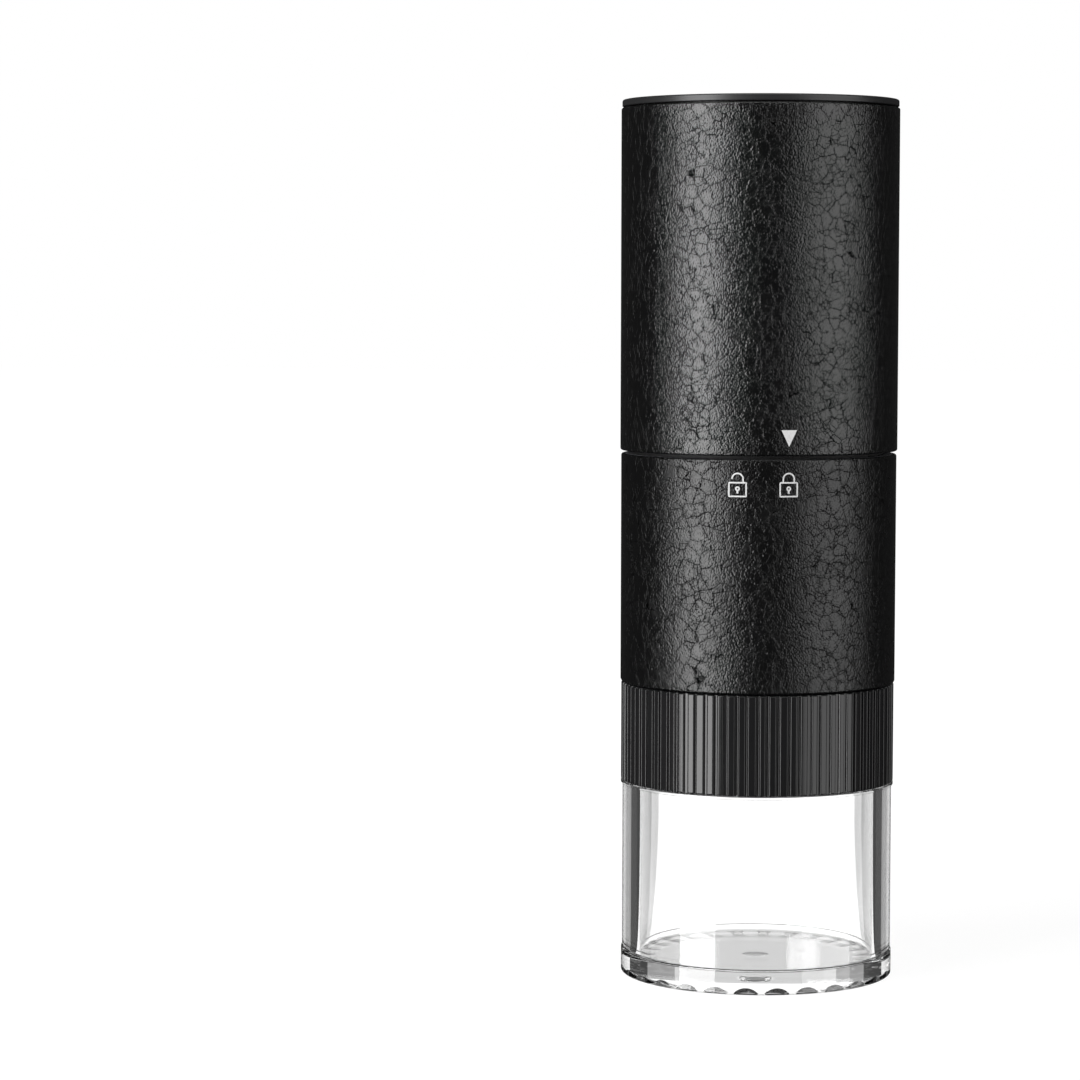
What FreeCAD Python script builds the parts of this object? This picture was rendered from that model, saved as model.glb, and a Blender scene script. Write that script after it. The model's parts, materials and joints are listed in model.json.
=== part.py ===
"""Hand-held electric coffee grinder, standing on its clear grounds cup.

From the table up: a thick clear cup with a fluted base, a ribbed ring that sets
the grind, a bean hopper and a motor head, both sleeved in leather. The head locks
onto the hopper with a bayonet. It holds a motor, two cells, a board and a two-stage
planetary gearbox, which turns the inner burr through a shaft down the hopper.

Lengths are in millimetres and angles in degrees. +Z is up, the front is -Y, and
the origin is the middle of the cup's underside.
"""

import FreeCAD, Part
import math
import os
import Sketcher

# Driving sizes
SIZES = {
    # Outside
    "body_radius": 33.0,
    "cup_step": 0.8,
    "hopper_step": 0.2,
    "cap_step": 0.2,
    # Fits
    "slide_gap": 0.3,
    "shaft_gap": 0.05,
    "seat_gap": 0.05,
    "face_gap": 0.3,
    # Clear grounds cup
    "cup_wall": 4.2,
    "cup_height": 46.3,
    "cup_floor": 4.65,
    "floor_fillet": 1.0,
    "base_band": 5.7,
    "base_flare": 0.25,
    "neck_height": 9.2,
    "neck_wall": 2.2,
    "lip_reach": 0.4,
    "lip_height": 0.6,
    "flute_count": 27,
    "flute_radius": 3.8,
    "flute_sink": 1.0,
    "flute_fade": 15.0,
    "flute_turn": -0.667,
    "dimple_radius": 2.6,
    "dimple_depth": 1.0,
    "gasket_thickness": 1.1,
    # Collar that carries the burrs
    "collar_wall": 2.2,
    "collar_drop": 1.2,
    "collar_plate": 3.0,
    "inlet_step": 0.3,
    "retainer_height": 1.2,
    "notch_width": 3.0,
    # Grind setting ring
    "ring_gap": 0.2,
    "ring_height": 23.5,
    "ring_reach": 0.4,
    "rim_height": 0.5,
    "rib_count": 82,
    "rib_depth": 0.5,
    "groove_mouth": 1.2,
    "groove_floor": 0.35,
    "pin_radius": 1.5,
    "pin_bite": 3.0,
    "pin_rise": 5.0,
    "pin_play": 0.15,
    "setting_swing": 40.0,
    "setting_pitch": 3.0,
    # Conical burrs
    "carrier_wall": 1.65,
    "carrier_lip": 1.5,
    "carrier_rise": 2.5,
    "burr_height": 14.0,
    "fine_height": 5.0,
    "burr_gap": 0.5,
    "foot_wall": 4.1,
    "waist_wall": 5.2,
    "throat_wall": 5.6,
    "bevel_wall": 3.7,
    "mouth_bevel": 3.0,
    "outer_teeth": 18,
    "outer_tooth_size": 1.6,
    "waist_gap": 0.8,
    "inner_burr_top": 10.5,
    "inner_burr_rise": 1.0,
    "fine_teeth": 24,
    "fine_tooth_size": 1.0,
    "blade_count": 6,
    "blade_groove": 3.4,
    "blade_lean": 28.0,
    # Drive shaft and its bearings
    "shaft_radius": 3.0,
    "shaft_edge": 0.4,
    "nut_radius": 4.6,
    "nut_height": 3.5,
    "washer_radius": 5.5,
    "washer_height": 1.0,
    "spacer_radius": 4.4,
    "bearing_radius": 6.5,
    "bearing_height": 5.0,
    "bearing_rise": 0.7,
    "hub_wall": 2.1,
    "hub_base": 1.6,
    "bridge_height": 2.5,
    "bridge_rim": 3.1,
    "arm_width": 4.5,
    "bush_wall": 2.0,
    "top_hub_wall": 2.5,
    "top_bridge_height": 4.0,
    "top_bridge_rim": 1.5,
    # Screws
    "screw_radius": 1.0,
    "screw_head": 1.8,
    "screw_head_height": 1.1,
    "screw_length": 4.0,
    # Bean hopper
    "hopper_height": 54.4,
    "wrap_thickness": 0.8,
    "wrap_edge": 0.3,
    "shell_wall": 2.1,
    "funnel_wall": 1.2,
    "funnel_slope": 8.5,
    "throat_step": 0.5,
    # Bayonet lock
    "mouth_wall": 1.05,
    "spigot_wall": 2.0,
    "spigot_depth": 7.5,
    "lug_reach": 1.4,
    "lug_height": 2.0,
    "lug_rise": 1.0,
    "lug_angle": 18.0,
    "lug_play": 1.0,
    "lock_turn": 21.0,
    "mouth_shoulder": 1.2,
    # Drive coupling
    "dog_hub": 5.5,
    "dog_reach": 9.0,
    "dog_rise": 0.8,
    "dog_height": 4.2,
    "dog_angle": 30.0,
    "socket_wall": 1.7,
    "socket_plate": 1.8,
    "socket_turn": 75.0,
    # Motor head
    "head_height": 81.1,
    "seam_gap": 0.8,
    "base_plate": 3.0,
    "spigot_floor": 1.5,
    "head_screw_inset": 6.0,
    "post_radius": 2.6,
    "shaft_hole": 6.0,
    "seal_height": 3.0,
    # Gearbox
    "tooth_module": 0.75,
    "sun_thirds": 4,
    "planet_thirds": 5,
    "pressure_angle": 25.0,
    "tooth_top": 0.6,
    "tooth_root": 0.825,
    "tooth_play": 0.12,
    "gear_width": 5.0,
    "gear_rise": 0.3,
    "spider_plate": 2.0,
    "planet_pin": 1.5,
    "output_radius": 4.0,
    "case_floor": 2.5,
    "case_wall": 1.4,
    "case_room": 1.6,
    "lid_height": 1.5,
    # Motor, cells and frame
    "motor_room": 0.75,
    "motor_height": 35.0,
    "motor_boss": 4.9,
    "motor_boss_height": 1.2,
    "motor_screw_shift": 0.875,
    "end_cap_height": 3.0,
    "end_cap_inset": 1.0,
    "tab_height": 4.0,
    "tab_width": 2.8,
    "tab_spread": 7.5,
    "motor_shaft_radius": 1.15,
    "rotor_depth": 25.0,
    "cell_radius": 7.1,
    "cell_height": 48.5,
    "cell_button": 2.75,
    "cell_button_height": 1.5,
    "cell_margin": 1.2,
    "upright_width": 12.0,
    "upright_depth": 2.2,
    "strap_width": 6.0,
    "strap_height": 2.2,
    "board_rise": 5.4,
    # Control board
    "board_gap": 1.1,
    "board_margin": 5.05,
    "board_height": 1.4,
    "board_corner": 3.0,
    "switch_width": 6.0,
    "switch_height": 3.4,
    "plunger_radius": 1.6,
    "plunger_height": 2.3,
    "chip_width": 5.0,
    "chip_length": 6.0,
    "chip_height": 1.5,
    "coil_radius": 3.0,
    "coil_height": 2.8,
    "chip_inset": 6.0,
    "chip_row": 10.5,
    # Charging socket
    "socket_width": 8.94,
    "socket_height": 3.26,
    "socket_length": 7.35,
    "socket_skin": 0.35,
    "socket_corner": 1.2,
    "tongue_width": 6.7,
    "tongue_height": 0.7,
    "tongue_setback": 0.9,
    "port_margin": 0.4,
    "port_setback": 1.0,
    # Top cap and power button
    "cap_groove": 0.3,
    "cap_thickness": 1.6,
    "cap_edge": 0.35,
    "cap_skirt": 4.0,
    "button_radius": 7.9,
    "button_flange": 1.4,
    "flange_height": 0.9,
    "button_inset": 0.1,
    "button_edge": 0.3,
    "button_travel": 1.0,
    "guide_wall": 1.3,
    "light_ring_gap": 2.1,
    "light_ring_width": 1.6,
    "light_ring_height": 1.15,
}

DOCUMENT = FreeCAD.newDocument("Grinder")


class Size:
    """A size as an expression on the sheet, with its present value."""

    def __init__(self, text, value):
        self.text = text
        self.value = float(value)

    def joined(self, sign, other, value):
        return Size("(%s %s %s)" % (self.text, sign, other.text), value)

    def __add__(self, other):
        other = as_size(other)
        return self.joined("+", other, self.value + other.value)

    def __sub__(self, other):
        other = as_size(other)
        return self.joined("-", other, self.value - other.value)

    def __mul__(self, other):
        other = as_size(other)
        return self.joined("*", other, self.value * other.value)

    def __truediv__(self, other):
        other = as_size(other)
        return self.joined("/", other, self.value / other.value)

    def __rsub__(self, other):
        return as_size(other) - self

    def __rtruediv__(self, other):
        return as_size(other) / self

    def __neg__(self):
        return as_size(0) - self

    __radd__ = __add__
    __rmul__ = __mul__


def as_size(number):
    """Give a plain number the form of a size."""
    if isinstance(number, Size):
        return number
    return Size(repr(number), number)


def sine(angle):
    return Size("sin(%s)" % angle.text, math.sin(math.radians(angle.value)))


def cosine(angle):
    return Size("cos(%s)" % angle.text, math.cos(math.radians(angle.value)))


def tangent(angle):
    return Size("tan(%s)" % angle.text, math.tan(math.radians(angle.value)))


def arc_cosine(ratio):
    """The angle in degrees whose cosine is the ratio, which may not pass 1."""
    text = "(acos(min(%s; 1)) / 1deg)" % ratio.text
    return Size(text, math.degrees(math.acos(min(ratio.value, 1))))


def arc_tangent(ratio):
    return Size("(atan(%s) / 1deg)" % ratio.text, math.degrees(math.atan(ratio.value)))


def remainder(number, divisor):
    return Size("mod(%s; %s)" % (number.text, divisor), number.value % divisor)


def larger(first, second):
    return Size("max(%s; %s)" % (first.text, second.text), max(first.value, second.value))


class Driving:
    """The driving sizes, each bound to its own cell of the sheet."""

    def __init__(self, table):
        sheet = DOCUMENT.addObject("Spreadsheet::Sheet", "Sizes")
        for row, (name, value) in enumerate(table.items(), start=1):
            sheet.set("A%d" % row, name)
            sheet.set("B%d" % row, str(value))
            sheet.setAlias("B%d" % row, name)
            setattr(self, name, Size("Sizes.%s" % name, value))
        DOCUMENT.recompute()


class Plan:
    """The levels, radii and angles that follow from the driving sizes."""

    def __init__(self, d):
        # Outside radii
        self.cup_radius = d.body_radius - d.cup_step
        self.hopper_radius = d.body_radius - d.hopper_step
        self.cap_radius = d.body_radius - d.cap_step
        # Cup, from the base to the rim of its neck
        self.cup_inner = self.cup_radius - d.cup_wall
        self.base_radius = self.cup_radius + d.base_flare
        self.neck_outer = self.cup_inner + d.neck_wall
        self.neck_top = d.cup_height + d.neck_height
        # Collar, retaining ring and setting ring
        self.collar_outer = self.cup_inner - d.slide_gap
        self.collar_inner = self.collar_outer - d.collar_wall
        self.collar_bottom = d.cup_height + d.collar_drop
        self.retainer_bottom = self.neck_top + d.gasket_thickness + 2 * d.seat_gap
        self.retainer_top = self.retainer_bottom + d.retainer_height
        self.ring_bottom = d.cup_height + d.ring_gap
        self.ring_top = self.ring_bottom + d.ring_height
        self.ring_outer = self.cup_radius + d.ring_reach
        self.skirt_bore = self.neck_outer + d.slide_gap
        self.retainer_outer = self.skirt_bore - 2 * d.slide_gap
        self.web_bore = self.collar_outer + d.slide_gap
        self.web_bottom = self.retainer_top + d.face_gap
        self.pin_level = self.web_bottom + d.pin_rise
        self.pin_outer = self.web_bore + d.pin_bite
        self.hopper_bottom = self.ring_top + d.face_gap
        self.plate_top = self.hopper_bottom + d.collar_plate
        # Burrs, whose carrier climbs with the setting ring
        self.climb = d.setting_pitch * d.setting_swing / 360
        self.carrier_outer = self.collar_inner - d.slide_gap
        self.carrier_inner = self.carrier_outer - d.carrier_wall
        self.burr_outer = self.carrier_inner - d.seat_gap
        self.burr_foot = self.burr_outer - d.foot_wall
        self.burr_waist = self.burr_outer - d.waist_wall
        self.burr_throat = self.burr_outer - d.throat_wall
        self.burr_mouth = self.burr_outer - d.bevel_wall
        self.inlet_radius = self.burr_mouth - d.inlet_step
        self.carrier_bottom = self.collar_bottom + d.carrier_rise
        self.carrier_top = self.hopper_bottom - self.climb - 3 * d.face_gap
        self.burr_bottom = self.carrier_bottom + d.carrier_lip
        self.burr_top = self.burr_bottom + d.burr_height
        self.waist = self.burr_bottom + d.fine_height
        self.inner_burr_foot = self.burr_foot - d.burr_gap
        self.inner_burr_waist = self.burr_waist - d.waist_gap
        self.inner_burr_top = self.burr_top + d.inner_burr_rise
        self.burr_screw_circle = (self.burr_foot + self.burr_outer) / 2 + d.screw_radius / 2
        # Shaft, lower bearing and upper bush
        self.shaft_bore = d.shaft_radius + d.shaft_gap
        self.nut_top = self.burr_bottom - d.washer_height - 2 * d.seat_gap
        self.nut_bottom = self.nut_top - d.nut_height
        self.shaft_bottom = self.nut_bottom - d.shaft_edge
        self.bearing_bottom = self.hopper_bottom + d.bearing_rise
        self.bearing_top = self.bearing_bottom + d.bearing_height
        self.hub_outer = d.bearing_radius + d.hub_wall
        self.rim_outer = self.inlet_radius + d.bridge_rim
        self.rim_top = self.plate_top + d.bridge_height
        self.rim_screw_circle = self.inlet_radius + d.bridge_rim / 2
        # Hopper and its bayonet mouth
        self.hopper_top = self.hopper_bottom + d.hopper_height
        self.hopper_shell = self.hopper_radius - d.wrap_thickness - d.seat_gap
        self.hopper_bore = self.hopper_shell - d.shell_wall
        self.plate_outer = self.hopper_bore - d.seat_gap
        self.head_bottom = self.hopper_top + d.seam_gap
        self.spigot_bottom = self.head_bottom - d.spigot_depth
        self.mouth_bore = self.hopper_bore - d.mouth_wall
        self.spigot_radius = self.mouth_bore - d.slide_gap
        self.lug_outer = self.spigot_radius + d.lug_reach
        self.lug_bottom = self.spigot_bottom + d.lug_rise
        self.lug_top = self.lug_bottom + d.lug_height
        self.channel_outer = self.lug_outer + d.slide_gap
        self.channel_bottom = self.lug_bottom - d.face_gap
        self.channel_top = self.lug_top + d.face_gap
        self.mouth_bottom = self.channel_bottom - d.mouth_shoulder
        self.gap_angle = d.lug_angle + 2 * d.lug_play
        self.channel_angle = self.gap_angle + d.lock_turn
        self.top_bridge_top = self.mouth_bottom - (self.hopper_bore - self.mouth_bore)
        self.top_bridge_bottom = self.top_bridge_top - d.top_bridge_height
        self.funnel_top = self.top_bridge_bottom - d.seat_gap
        self.funnel_inner = self.plate_outer - d.funnel_wall
        self.funnel_throat = self.inlet_radius + d.throat_step
        # Coupling between the shaft and the gearbox
        self.bush_outer = self.shaft_bore + d.bush_wall
        self.bush_top = self.top_bridge_top
        self.dog_bottom = self.bush_top + d.dog_rise
        self.dog_top = self.dog_bottom + d.dog_height
        self.socket_bore = d.dog_reach + d.slide_gap
        self.socket_outer = self.socket_bore + d.socket_wall
        self.socket_floor = self.dog_top + 2 * d.face_gap
        self.socket_top = self.socket_floor + d.socket_plate
        self.socket_bottom = self.dog_bottom + 2 * d.face_gap
        # Motor head
        self.head_top = self.head_bottom + d.head_height
        self.head_shell = d.body_radius - d.wrap_thickness - d.seat_gap
        self.head_bore = self.head_shell - d.shell_wall
        self.insert_outer = self.head_bore - d.seat_gap
        self.head_screw_circle = self.insert_outer - d.head_screw_inset
        self.cell_spread = self.insert_outer - d.cell_margin - d.cell_radius
        self.cell_inner = self.cell_spread - d.cell_radius
        self.motor_radius = self.cell_inner - d.motor_room
        self.motor_screw_circle = (d.motor_boss + self.motor_radius) / 2 - d.motor_screw_shift
        self.base_top = self.head_bottom + d.base_plate
        self.base_bottom = self.head_bottom - d.spigot_floor
        # Gear train: the ring gear's teeth follow from the sun's and the planets'
        self.sun_teeth = 3 * d.sun_thirds
        self.planet_teeth = 3 * d.planet_thirds
        self.ring_teeth = self.sun_teeth + 2 * self.planet_teeth
        self.planet_circle = d.tooth_module * (self.sun_teeth + self.planet_teeth) / 2
        self.ring_tip = self.pitch_radius(d, self.ring_teeth) - d.tooth_top
        self.ring_root = self.pitch_radius(d, self.ring_teeth) + d.tooth_root
        self.sun_turn = 180 / self.sun_teeth
        self.ring_turn = 180 / self.ring_teeth * remainder(self.planet_teeth + 1, 2)
        self.case_outer = self.ring_root + d.case_wall
        self.spider_outer = self.ring_tip - 2 * d.slide_gap
        self.case_bottom = self.base_top + d.seat_gap
        self.floor_top = self.case_bottom + d.case_floor
        self.output_plate = self.floor_top + d.gear_rise
        self.output_gears = self.output_plate + d.spider_plate + d.gear_rise
        self.output_gears_top = self.output_gears + d.gear_width
        self.first_plate = self.output_gears_top + 2 * d.gear_rise
        self.input_gears = self.first_plate + d.spider_plate + d.gear_rise
        self.input_gears_top = self.input_gears + d.gear_width
        self.lid_bottom = self.input_gears_top + d.case_room
        self.lid_top = self.lid_bottom + d.lid_height
        # Motor, cells and board
        self.motor_bottom = self.lid_top + d.seat_gap
        self.motor_top = self.motor_bottom + d.motor_height
        self.end_cap_top = self.motor_top + d.seat_gap + d.end_cap_height
        self.cell_bottom = self.lid_top + d.seat_gap
        self.upright_inner = self.motor_radius + 4 * d.face_gap
        self.board_bottom = self.end_cap_top + d.board_rise
        self.board_top = self.board_bottom + d.board_height
        self.board_width = 2 * (self.cell_inner - d.board_gap)
        self.board_length = 2 * (self.head_bore - d.board_margin)
        self.chip_spread = self.board_width / 2 - d.chip_inset
        self.part_level = self.board_top + d.seat_gap
        self.board_screw_row = self.upright_inner + d.upright_depth / 2
        self.switch_top = self.part_level + d.switch_height
        self.well_floor = self.part_level + 2 * d.face_gap
        self.plunger_bottom = self.well_floor + d.button_travel + d.seat_gap
        self.plunger_top = self.plunger_bottom + d.plunger_height
        # Charging socket, whose mouth lies just inside the leather
        self.port_level = self.part_level + d.socket_height / 2
        self.port_mouth = d.body_radius - d.port_setback
        # Cap and button
        self.cap_bottom = self.head_top + d.cap_groove
        self.top = self.cap_bottom + d.cap_thickness
        self.button_bore = d.button_radius + d.slide_gap
        self.flange_outer = d.button_radius + d.button_flange
        self.guide_bore = self.flange_outer + 2 * d.slide_gap
        self.guide_outer = self.guide_bore + d.guide_wall
        self.button_top = self.top - d.button_inset
        self.flange_top = self.cap_bottom - d.seat_gap
        self.flange_bottom = self.flange_top - d.flange_height
        self.light_inner = d.button_radius + d.light_ring_gap
        self.light_outer = self.light_inner + d.light_ring_width

    def pitch_radius(self, d, teeth):
        return d.tooth_module * teeth / 2

    def half_tooth(self, d, teeth, radius, play):
        """Half the angle that an involute tooth covers at a radius."""
        base = self.pitch_radius(d, teeth) * cosine(d.pressure_angle)
        angle = arc_cosine(base / larger(radius, base))
        involute = self.involute(d.pressure_angle) - self.involute(angle)
        return 90 / teeth + involute - play / (d.tooth_module * teeth) * 180 / math.pi

    def involute(self, angle):
        """The involute function of an angle, in degrees."""
        return tangent(angle) * 180 / math.pi - angle


class Piece:
    """One loose piece of the grinder: a body and the features that shape it."""

    def __init__(self, label, x=0, y=0, z=0, turn=0):
        self.body = DOCUMENT.addObject("PartDesign::Body", label)
        self.body.Label = label
        self.place(self.body, x, y, z, turn)

    def place(self, item, x=0, y=0, z=0, yaw=0, pitch=0, roll=0, name="Placement"):
        """Bind a placement: roll about X, then pitch about Y, then yaw about Z."""
        words = tuple(as_size(value).text for value in (x, y, z, yaw, pitch, roll))
        item.setExpression(name, "placement(vector(%s; %s; %s); rotation(%s; %s; %s))" % words)
        return item

    def datum(self, role):
        return [item for item in self.body.Origin.OriginFeatures if item.Role == role][0]

    def bind(self, item, **sizes):
        """Set an item's sizes, bound to the sheet where they depend on it."""
        for name, value in sizes.items():
            value = as_size(value)
            setattr(item, name, type(getattr(item, name))(value.value))
            item.setExpression(name, value.text)
        return item

    def sketch(self, role, level=0, turn=0):
        sketch = self.body.newObject("Sketcher::SketchObject", "Outline")
        sketch.AttachmentSupport = [(self.datum(role), "")]
        sketch.MapMode = "FlatFace"
        if role == "XY_Plane":
            self.place(sketch, z=level, yaw=turn, name="AttachmentOffset")
        else:
            self.place(sketch, pitch=turn, name="AttachmentOffset")
        return sketch

    def outline(self, role, points, level=0, turn=0):
        """Draw a closed outline of straight sides through the given points."""
        sketch = self.sketch(role, level, turn)
        points = [(as_size(x), as_size(y)) for x, y in points]
        corners = [FreeCAD.Vector(x.value, y.value, 0) for x, y in points]
        count = len(points)
        for index in range(count):
            sketch.addGeometry(Part.LineSegment(corners[index], corners[(index + 1) % count]))
        for index in range(count):
            sketch.addConstraint(Sketcher.Constraint("Coincident", index, 2, (index + 1) % count, 1))
        for index, point in enumerate(points):
            for kind, size in zip(("DistanceX", "DistanceY"), point):
                rule = Sketcher.Constraint(kind, -1, 1, index, 1, size.value)
                number = sketch.addConstraint(rule)
                sketch.setExpression("Constraints[%d]" % number, size.text)
        return sketch

    def turned(self, points, angle=360, turn=0, cut=False):
        """Revolve an outline of (radius, height) points about Z, or cut it away.

        A part turn is centred on the direction that turn gives, from +X.
        """
        profile = self.outline("XZ_Plane", points, turn=turn)
        feature = self.body.newObject("PartDesign::Groove" if cut else "PartDesign::Revolution", "Turned")
        feature.Profile = profile
        feature.ReferenceAxis = (profile, ["V_Axis"])
        feature.Midplane = isinstance(angle, Size)
        self.bind(feature, Angle=angle)
        return feature

    def slotted(self, points, level, height, turn=0):
        """Cut an outline of (x, y) points upward from a level."""
        profile = self.outline("XY_Plane", points, level, turn)
        feature = self.body.newObject("PartDesign::Pocket", "Slot")
        feature.Profile = profile
        feature.Reversed = True
        self.bind(feature, Length=height)
        return feature

    def rod(self, radius, length, cut=False, **where):
        """Add or cut a cylinder, which runs along Z until it is turned."""
        kind = "PartDesign::SubtractiveCylinder" if cut else "PartDesign::AdditiveCylinder"
        feature = self.body.newObject(kind, "Rod")
        self.bind(feature, Radius=radius, Height=length)
        return self.place(feature, **where)

    def prism(self, sides, radius, length, cut=False, **where):
        """Add or cut a bar with a regular section, its first corner towards +X."""
        kind = "PartDesign::SubtractivePrism" if cut else "PartDesign::AdditivePrism"
        feature = self.body.newObject(kind, "Prism")
        feature.Polygon = sides
        self.bind(feature, Circumradius=radius, Height=length)
        return self.place(feature, **where)

    def block(self, length, width, height, cut=False, x=0, y=0, z=0):
        """Add or cut a block that is centred on y, from x and z upwards."""
        kind = "PartDesign::SubtractiveBox" if cut else "PartDesign::AdditiveBox"
        feature = self.body.newObject(kind, "Block")
        self.bind(feature, Length=length, Width=width, Height=height)
        return self.place(feature, x=x, y=as_size(y) - as_size(width) / 2, z=z)

    def around(self, feature, count):
        """Repeat a feature evenly about Z."""
        pattern = self.body.newObject("PartDesign::PolarPattern", "Around")
        pattern.Originals = [feature]
        pattern.Axis = (self.datum("Z_Axis"), [""])
        pattern.Angle = 360
        self.bind(pattern, Occurrences=count)
        self.body.Tip = pattern
        return pattern

    def rounded(self, radius, wanted):
        """Round the edges of the tip that the test picks."""
        DOCUMENT.recompute()
        tip = self.body.Tip
        names = ["Edge%d" % number for number, edge in enumerate(tip.Shape.Edges, start=1) if wanted(edge)]
        if not names:
            raise ValueError("%s has no edge to round" % self.body.Label)
        feature = self.body.newObject("PartDesign::Fillet", "Round")
        feature.Base = (tip, names)
        self.bind(feature, Radius=radius)
        return feature


def ring_edge(radius, level):
    """Pick the full or part circles about Z at a radius and level."""
    def wanted(edge):
        curve = edge.Curve
        return (
            isinstance(curve, Part.Circle)
            and abs(curve.Radius - radius.value) < 0.001
            and abs(curve.Center.z - level.value) < 0.001
        )
    return wanted


def upright_edge(edge):
    """Pick straight edges along Z."""
    return isinstance(edge.Curve, Part.Line) and abs(edge.tangentAt(edge.FirstParameter).z) > 0.999


def lengthwise_edge(edge):
    """Pick straight edges along Y."""
    return isinstance(edge.Curve, Part.Line) and abs(edge.tangentAt(edge.FirstParameter).y) > 0.999


def tube(inner, outer, low, high):
    """The outline of a plain tube."""
    return [(inner, low), (outer, low), (outer, high), (inner, high)]


d = Driving(SIZES)
p = Plan(d)


# Clear cup and its gasket

def grounds_cup():
    """Thick clear cup: flared foot band, fluted underside and a plain neck."""
    cup = Piece("grounds_cup", turn=d.flute_turn)
    lip = p.cup_radius + d.lip_reach
    lip_bottom = d.cup_height - d.lip_height
    cup.turned([
        (0, 0),
        (p.base_radius, 0),
        (p.base_radius, d.base_band),
        (p.cup_radius, d.base_band + d.base_flare),
        (p.cup_radius, lip_bottom),
        (lip, lip_bottom),
        (lip, d.cup_height),
        (p.neck_outer, d.cup_height),
        (p.neck_outer, p.neck_top),
        (p.cup_inner, p.neck_top),
        (p.cup_inner, d.cup_floor),
        (0, d.cup_floor),
    ])
    cup.rounded(d.floor_fillet, ring_edge(p.cup_inner, d.cup_floor))
    cup.rod(d.dimple_radius, d.dimple_depth, cut=True)
    reach = p.base_radius - d.flute_fade
    climb = d.flute_radius - d.flute_sink
    flute = cup.prism(
        8, d.flute_radius, reach * 1.2, cut=True,
        x=d.flute_fade, z=-d.flute_radius, pitch=90 - arc_tangent(climb / reach),
    )
    cup.around(flute, d.flute_count)
    return cup


def cup_gasket():
    """Flat silicone ring that the cup's neck closes on."""
    gasket = Piece("cup_gasket")
    low = p.neck_top + d.seat_gap
    gasket.turned(tube(p.web_bore, p.neck_outer, low, low + d.gasket_thickness))
    return gasket


# Collar and grind setting

def grinder_collar():
    """Fixed sleeve below the hopper, with windows for the setting pins."""
    collar = Piece("grinder_collar")
    collar.turned([
        (p.collar_inner, p.collar_bottom),
        (p.collar_outer, p.collar_bottom),
        (p.collar_outer, p.hopper_bottom),
        (p.plate_outer, p.hopper_bottom),
        (p.plate_outer, p.plate_top),
        (p.inlet_radius, p.plate_top),
        (p.inlet_radius, p.hopper_bottom),
        (p.collar_inner, p.hopper_bottom),
    ])
    room = d.pin_radius + d.slide_gap
    half_pin = arc_tangent(room / p.collar_inner)
    window = collar.turned(
        tube(p.collar_inner - 1, p.collar_outer + 1, p.pin_level - room, p.pin_level + room),
        angle=2 * (d.setting_swing + half_pin), cut=True,
    )
    collar.around(window, 3)
    rim_screw = collar.rod(
        d.screw_radius + d.seat_gap, d.collar_plate, cut=True, x=-p.rim_screw_circle, z=p.hopper_bottom,
    )
    collar.around(rim_screw, 3)
    return collar


def retaining_ring():
    """Threaded ring that keeps the setting ring on the collar."""
    ring = Piece("retaining_ring")
    ring.turned(tube(p.collar_outer + d.seat_gap, p.retainer_outer, p.retainer_bottom, p.retainer_top))
    notch = ring.block(
        d.notch_width, d.notch_width, d.retainer_height / 2, cut=True,
        x=p.retainer_outer - d.notch_width / 4, z=p.retainer_bottom,
    )
    ring.around(notch, 4)
    return ring


def grind_ring():
    """Ring that is turned to set the grind, with ribs between two narrow rims."""
    ring = Piece("grind_ring")
    rim = p.ring_outer - d.rib_depth * 1.2
    rib_bottom = p.ring_bottom + d.rim_height
    rib_height = d.ring_height - 2 * d.rim_height
    ring.turned([
        (p.skirt_bore, p.ring_bottom),
        (rim, p.ring_bottom),
        (rim, rib_bottom),
        (p.ring_outer, rib_bottom),
        (p.ring_outer, rib_bottom + rib_height),
        (rim, rib_bottom + rib_height),
        (rim, p.ring_top),
        (p.web_bore, p.ring_top),
        (p.web_bore, p.web_bottom),
        (p.skirt_bore, p.web_bottom),
    ])
    pin_hole = ring.rod(
        d.pin_radius + d.seat_gap, d.pin_bite + 1, cut=True, x=p.web_bore - 1, z=p.pin_level, pitch=90,
    )
    ring.around(pin_hole, 3)
    floor = p.ring_outer - d.rib_depth
    groove = ring.slotted([
        (floor, -d.groove_floor / 2),
        (p.ring_outer + d.rib_depth, -d.groove_mouth + d.groove_floor / 2),
        (p.ring_outer + d.rib_depth, d.groove_mouth - d.groove_floor / 2),
        (floor, d.groove_floor / 2),
    ], rib_bottom, rib_height)
    ring.around(groove, d.rib_count)
    return ring


def drive_pins():
    """Three pins from the setting ring through the collar to the burr carrier."""
    pins = Piece("drive_pins")
    inner = p.carrier_inner + d.slide_gap
    pin = pins.rod(d.pin_radius, p.pin_outer - inner - d.seat_gap, x=inner, z=p.pin_level, pitch=90)
    pins.around(pin, 3)
    return pins


def burr_carrier():
    """Threaded cage of the outer burr, slotted so that it can climb past the pins."""
    carrier = Piece("burr_carrier")
    lip = p.burr_foot + d.burr_gap * 2
    carrier.turned([
        (lip, p.carrier_bottom),
        (p.carrier_outer, p.carrier_bottom),
        (p.carrier_outer, p.carrier_top),
        (p.carrier_inner, p.carrier_top),
        (p.carrier_inner, p.burr_bottom),
        (lip, p.burr_bottom),
    ])
    low = p.pin_level - d.pin_radius - p.climb - d.pin_play
    slot = carrier.block(
        d.carrier_wall + 2, 2 * (d.pin_radius + d.pin_play), p.carrier_top - low, cut=True,
        x=p.carrier_inner - 1, z=low,
    )
    carrier.around(slot, 3)
    hole = carrier.rod(
        d.screw_radius + d.seat_gap, d.carrier_lip, cut=True, x=-p.burr_screw_circle, z=p.carrier_bottom,
    )
    carrier.around(hole, 3)
    return carrier


# Burrs

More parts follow.
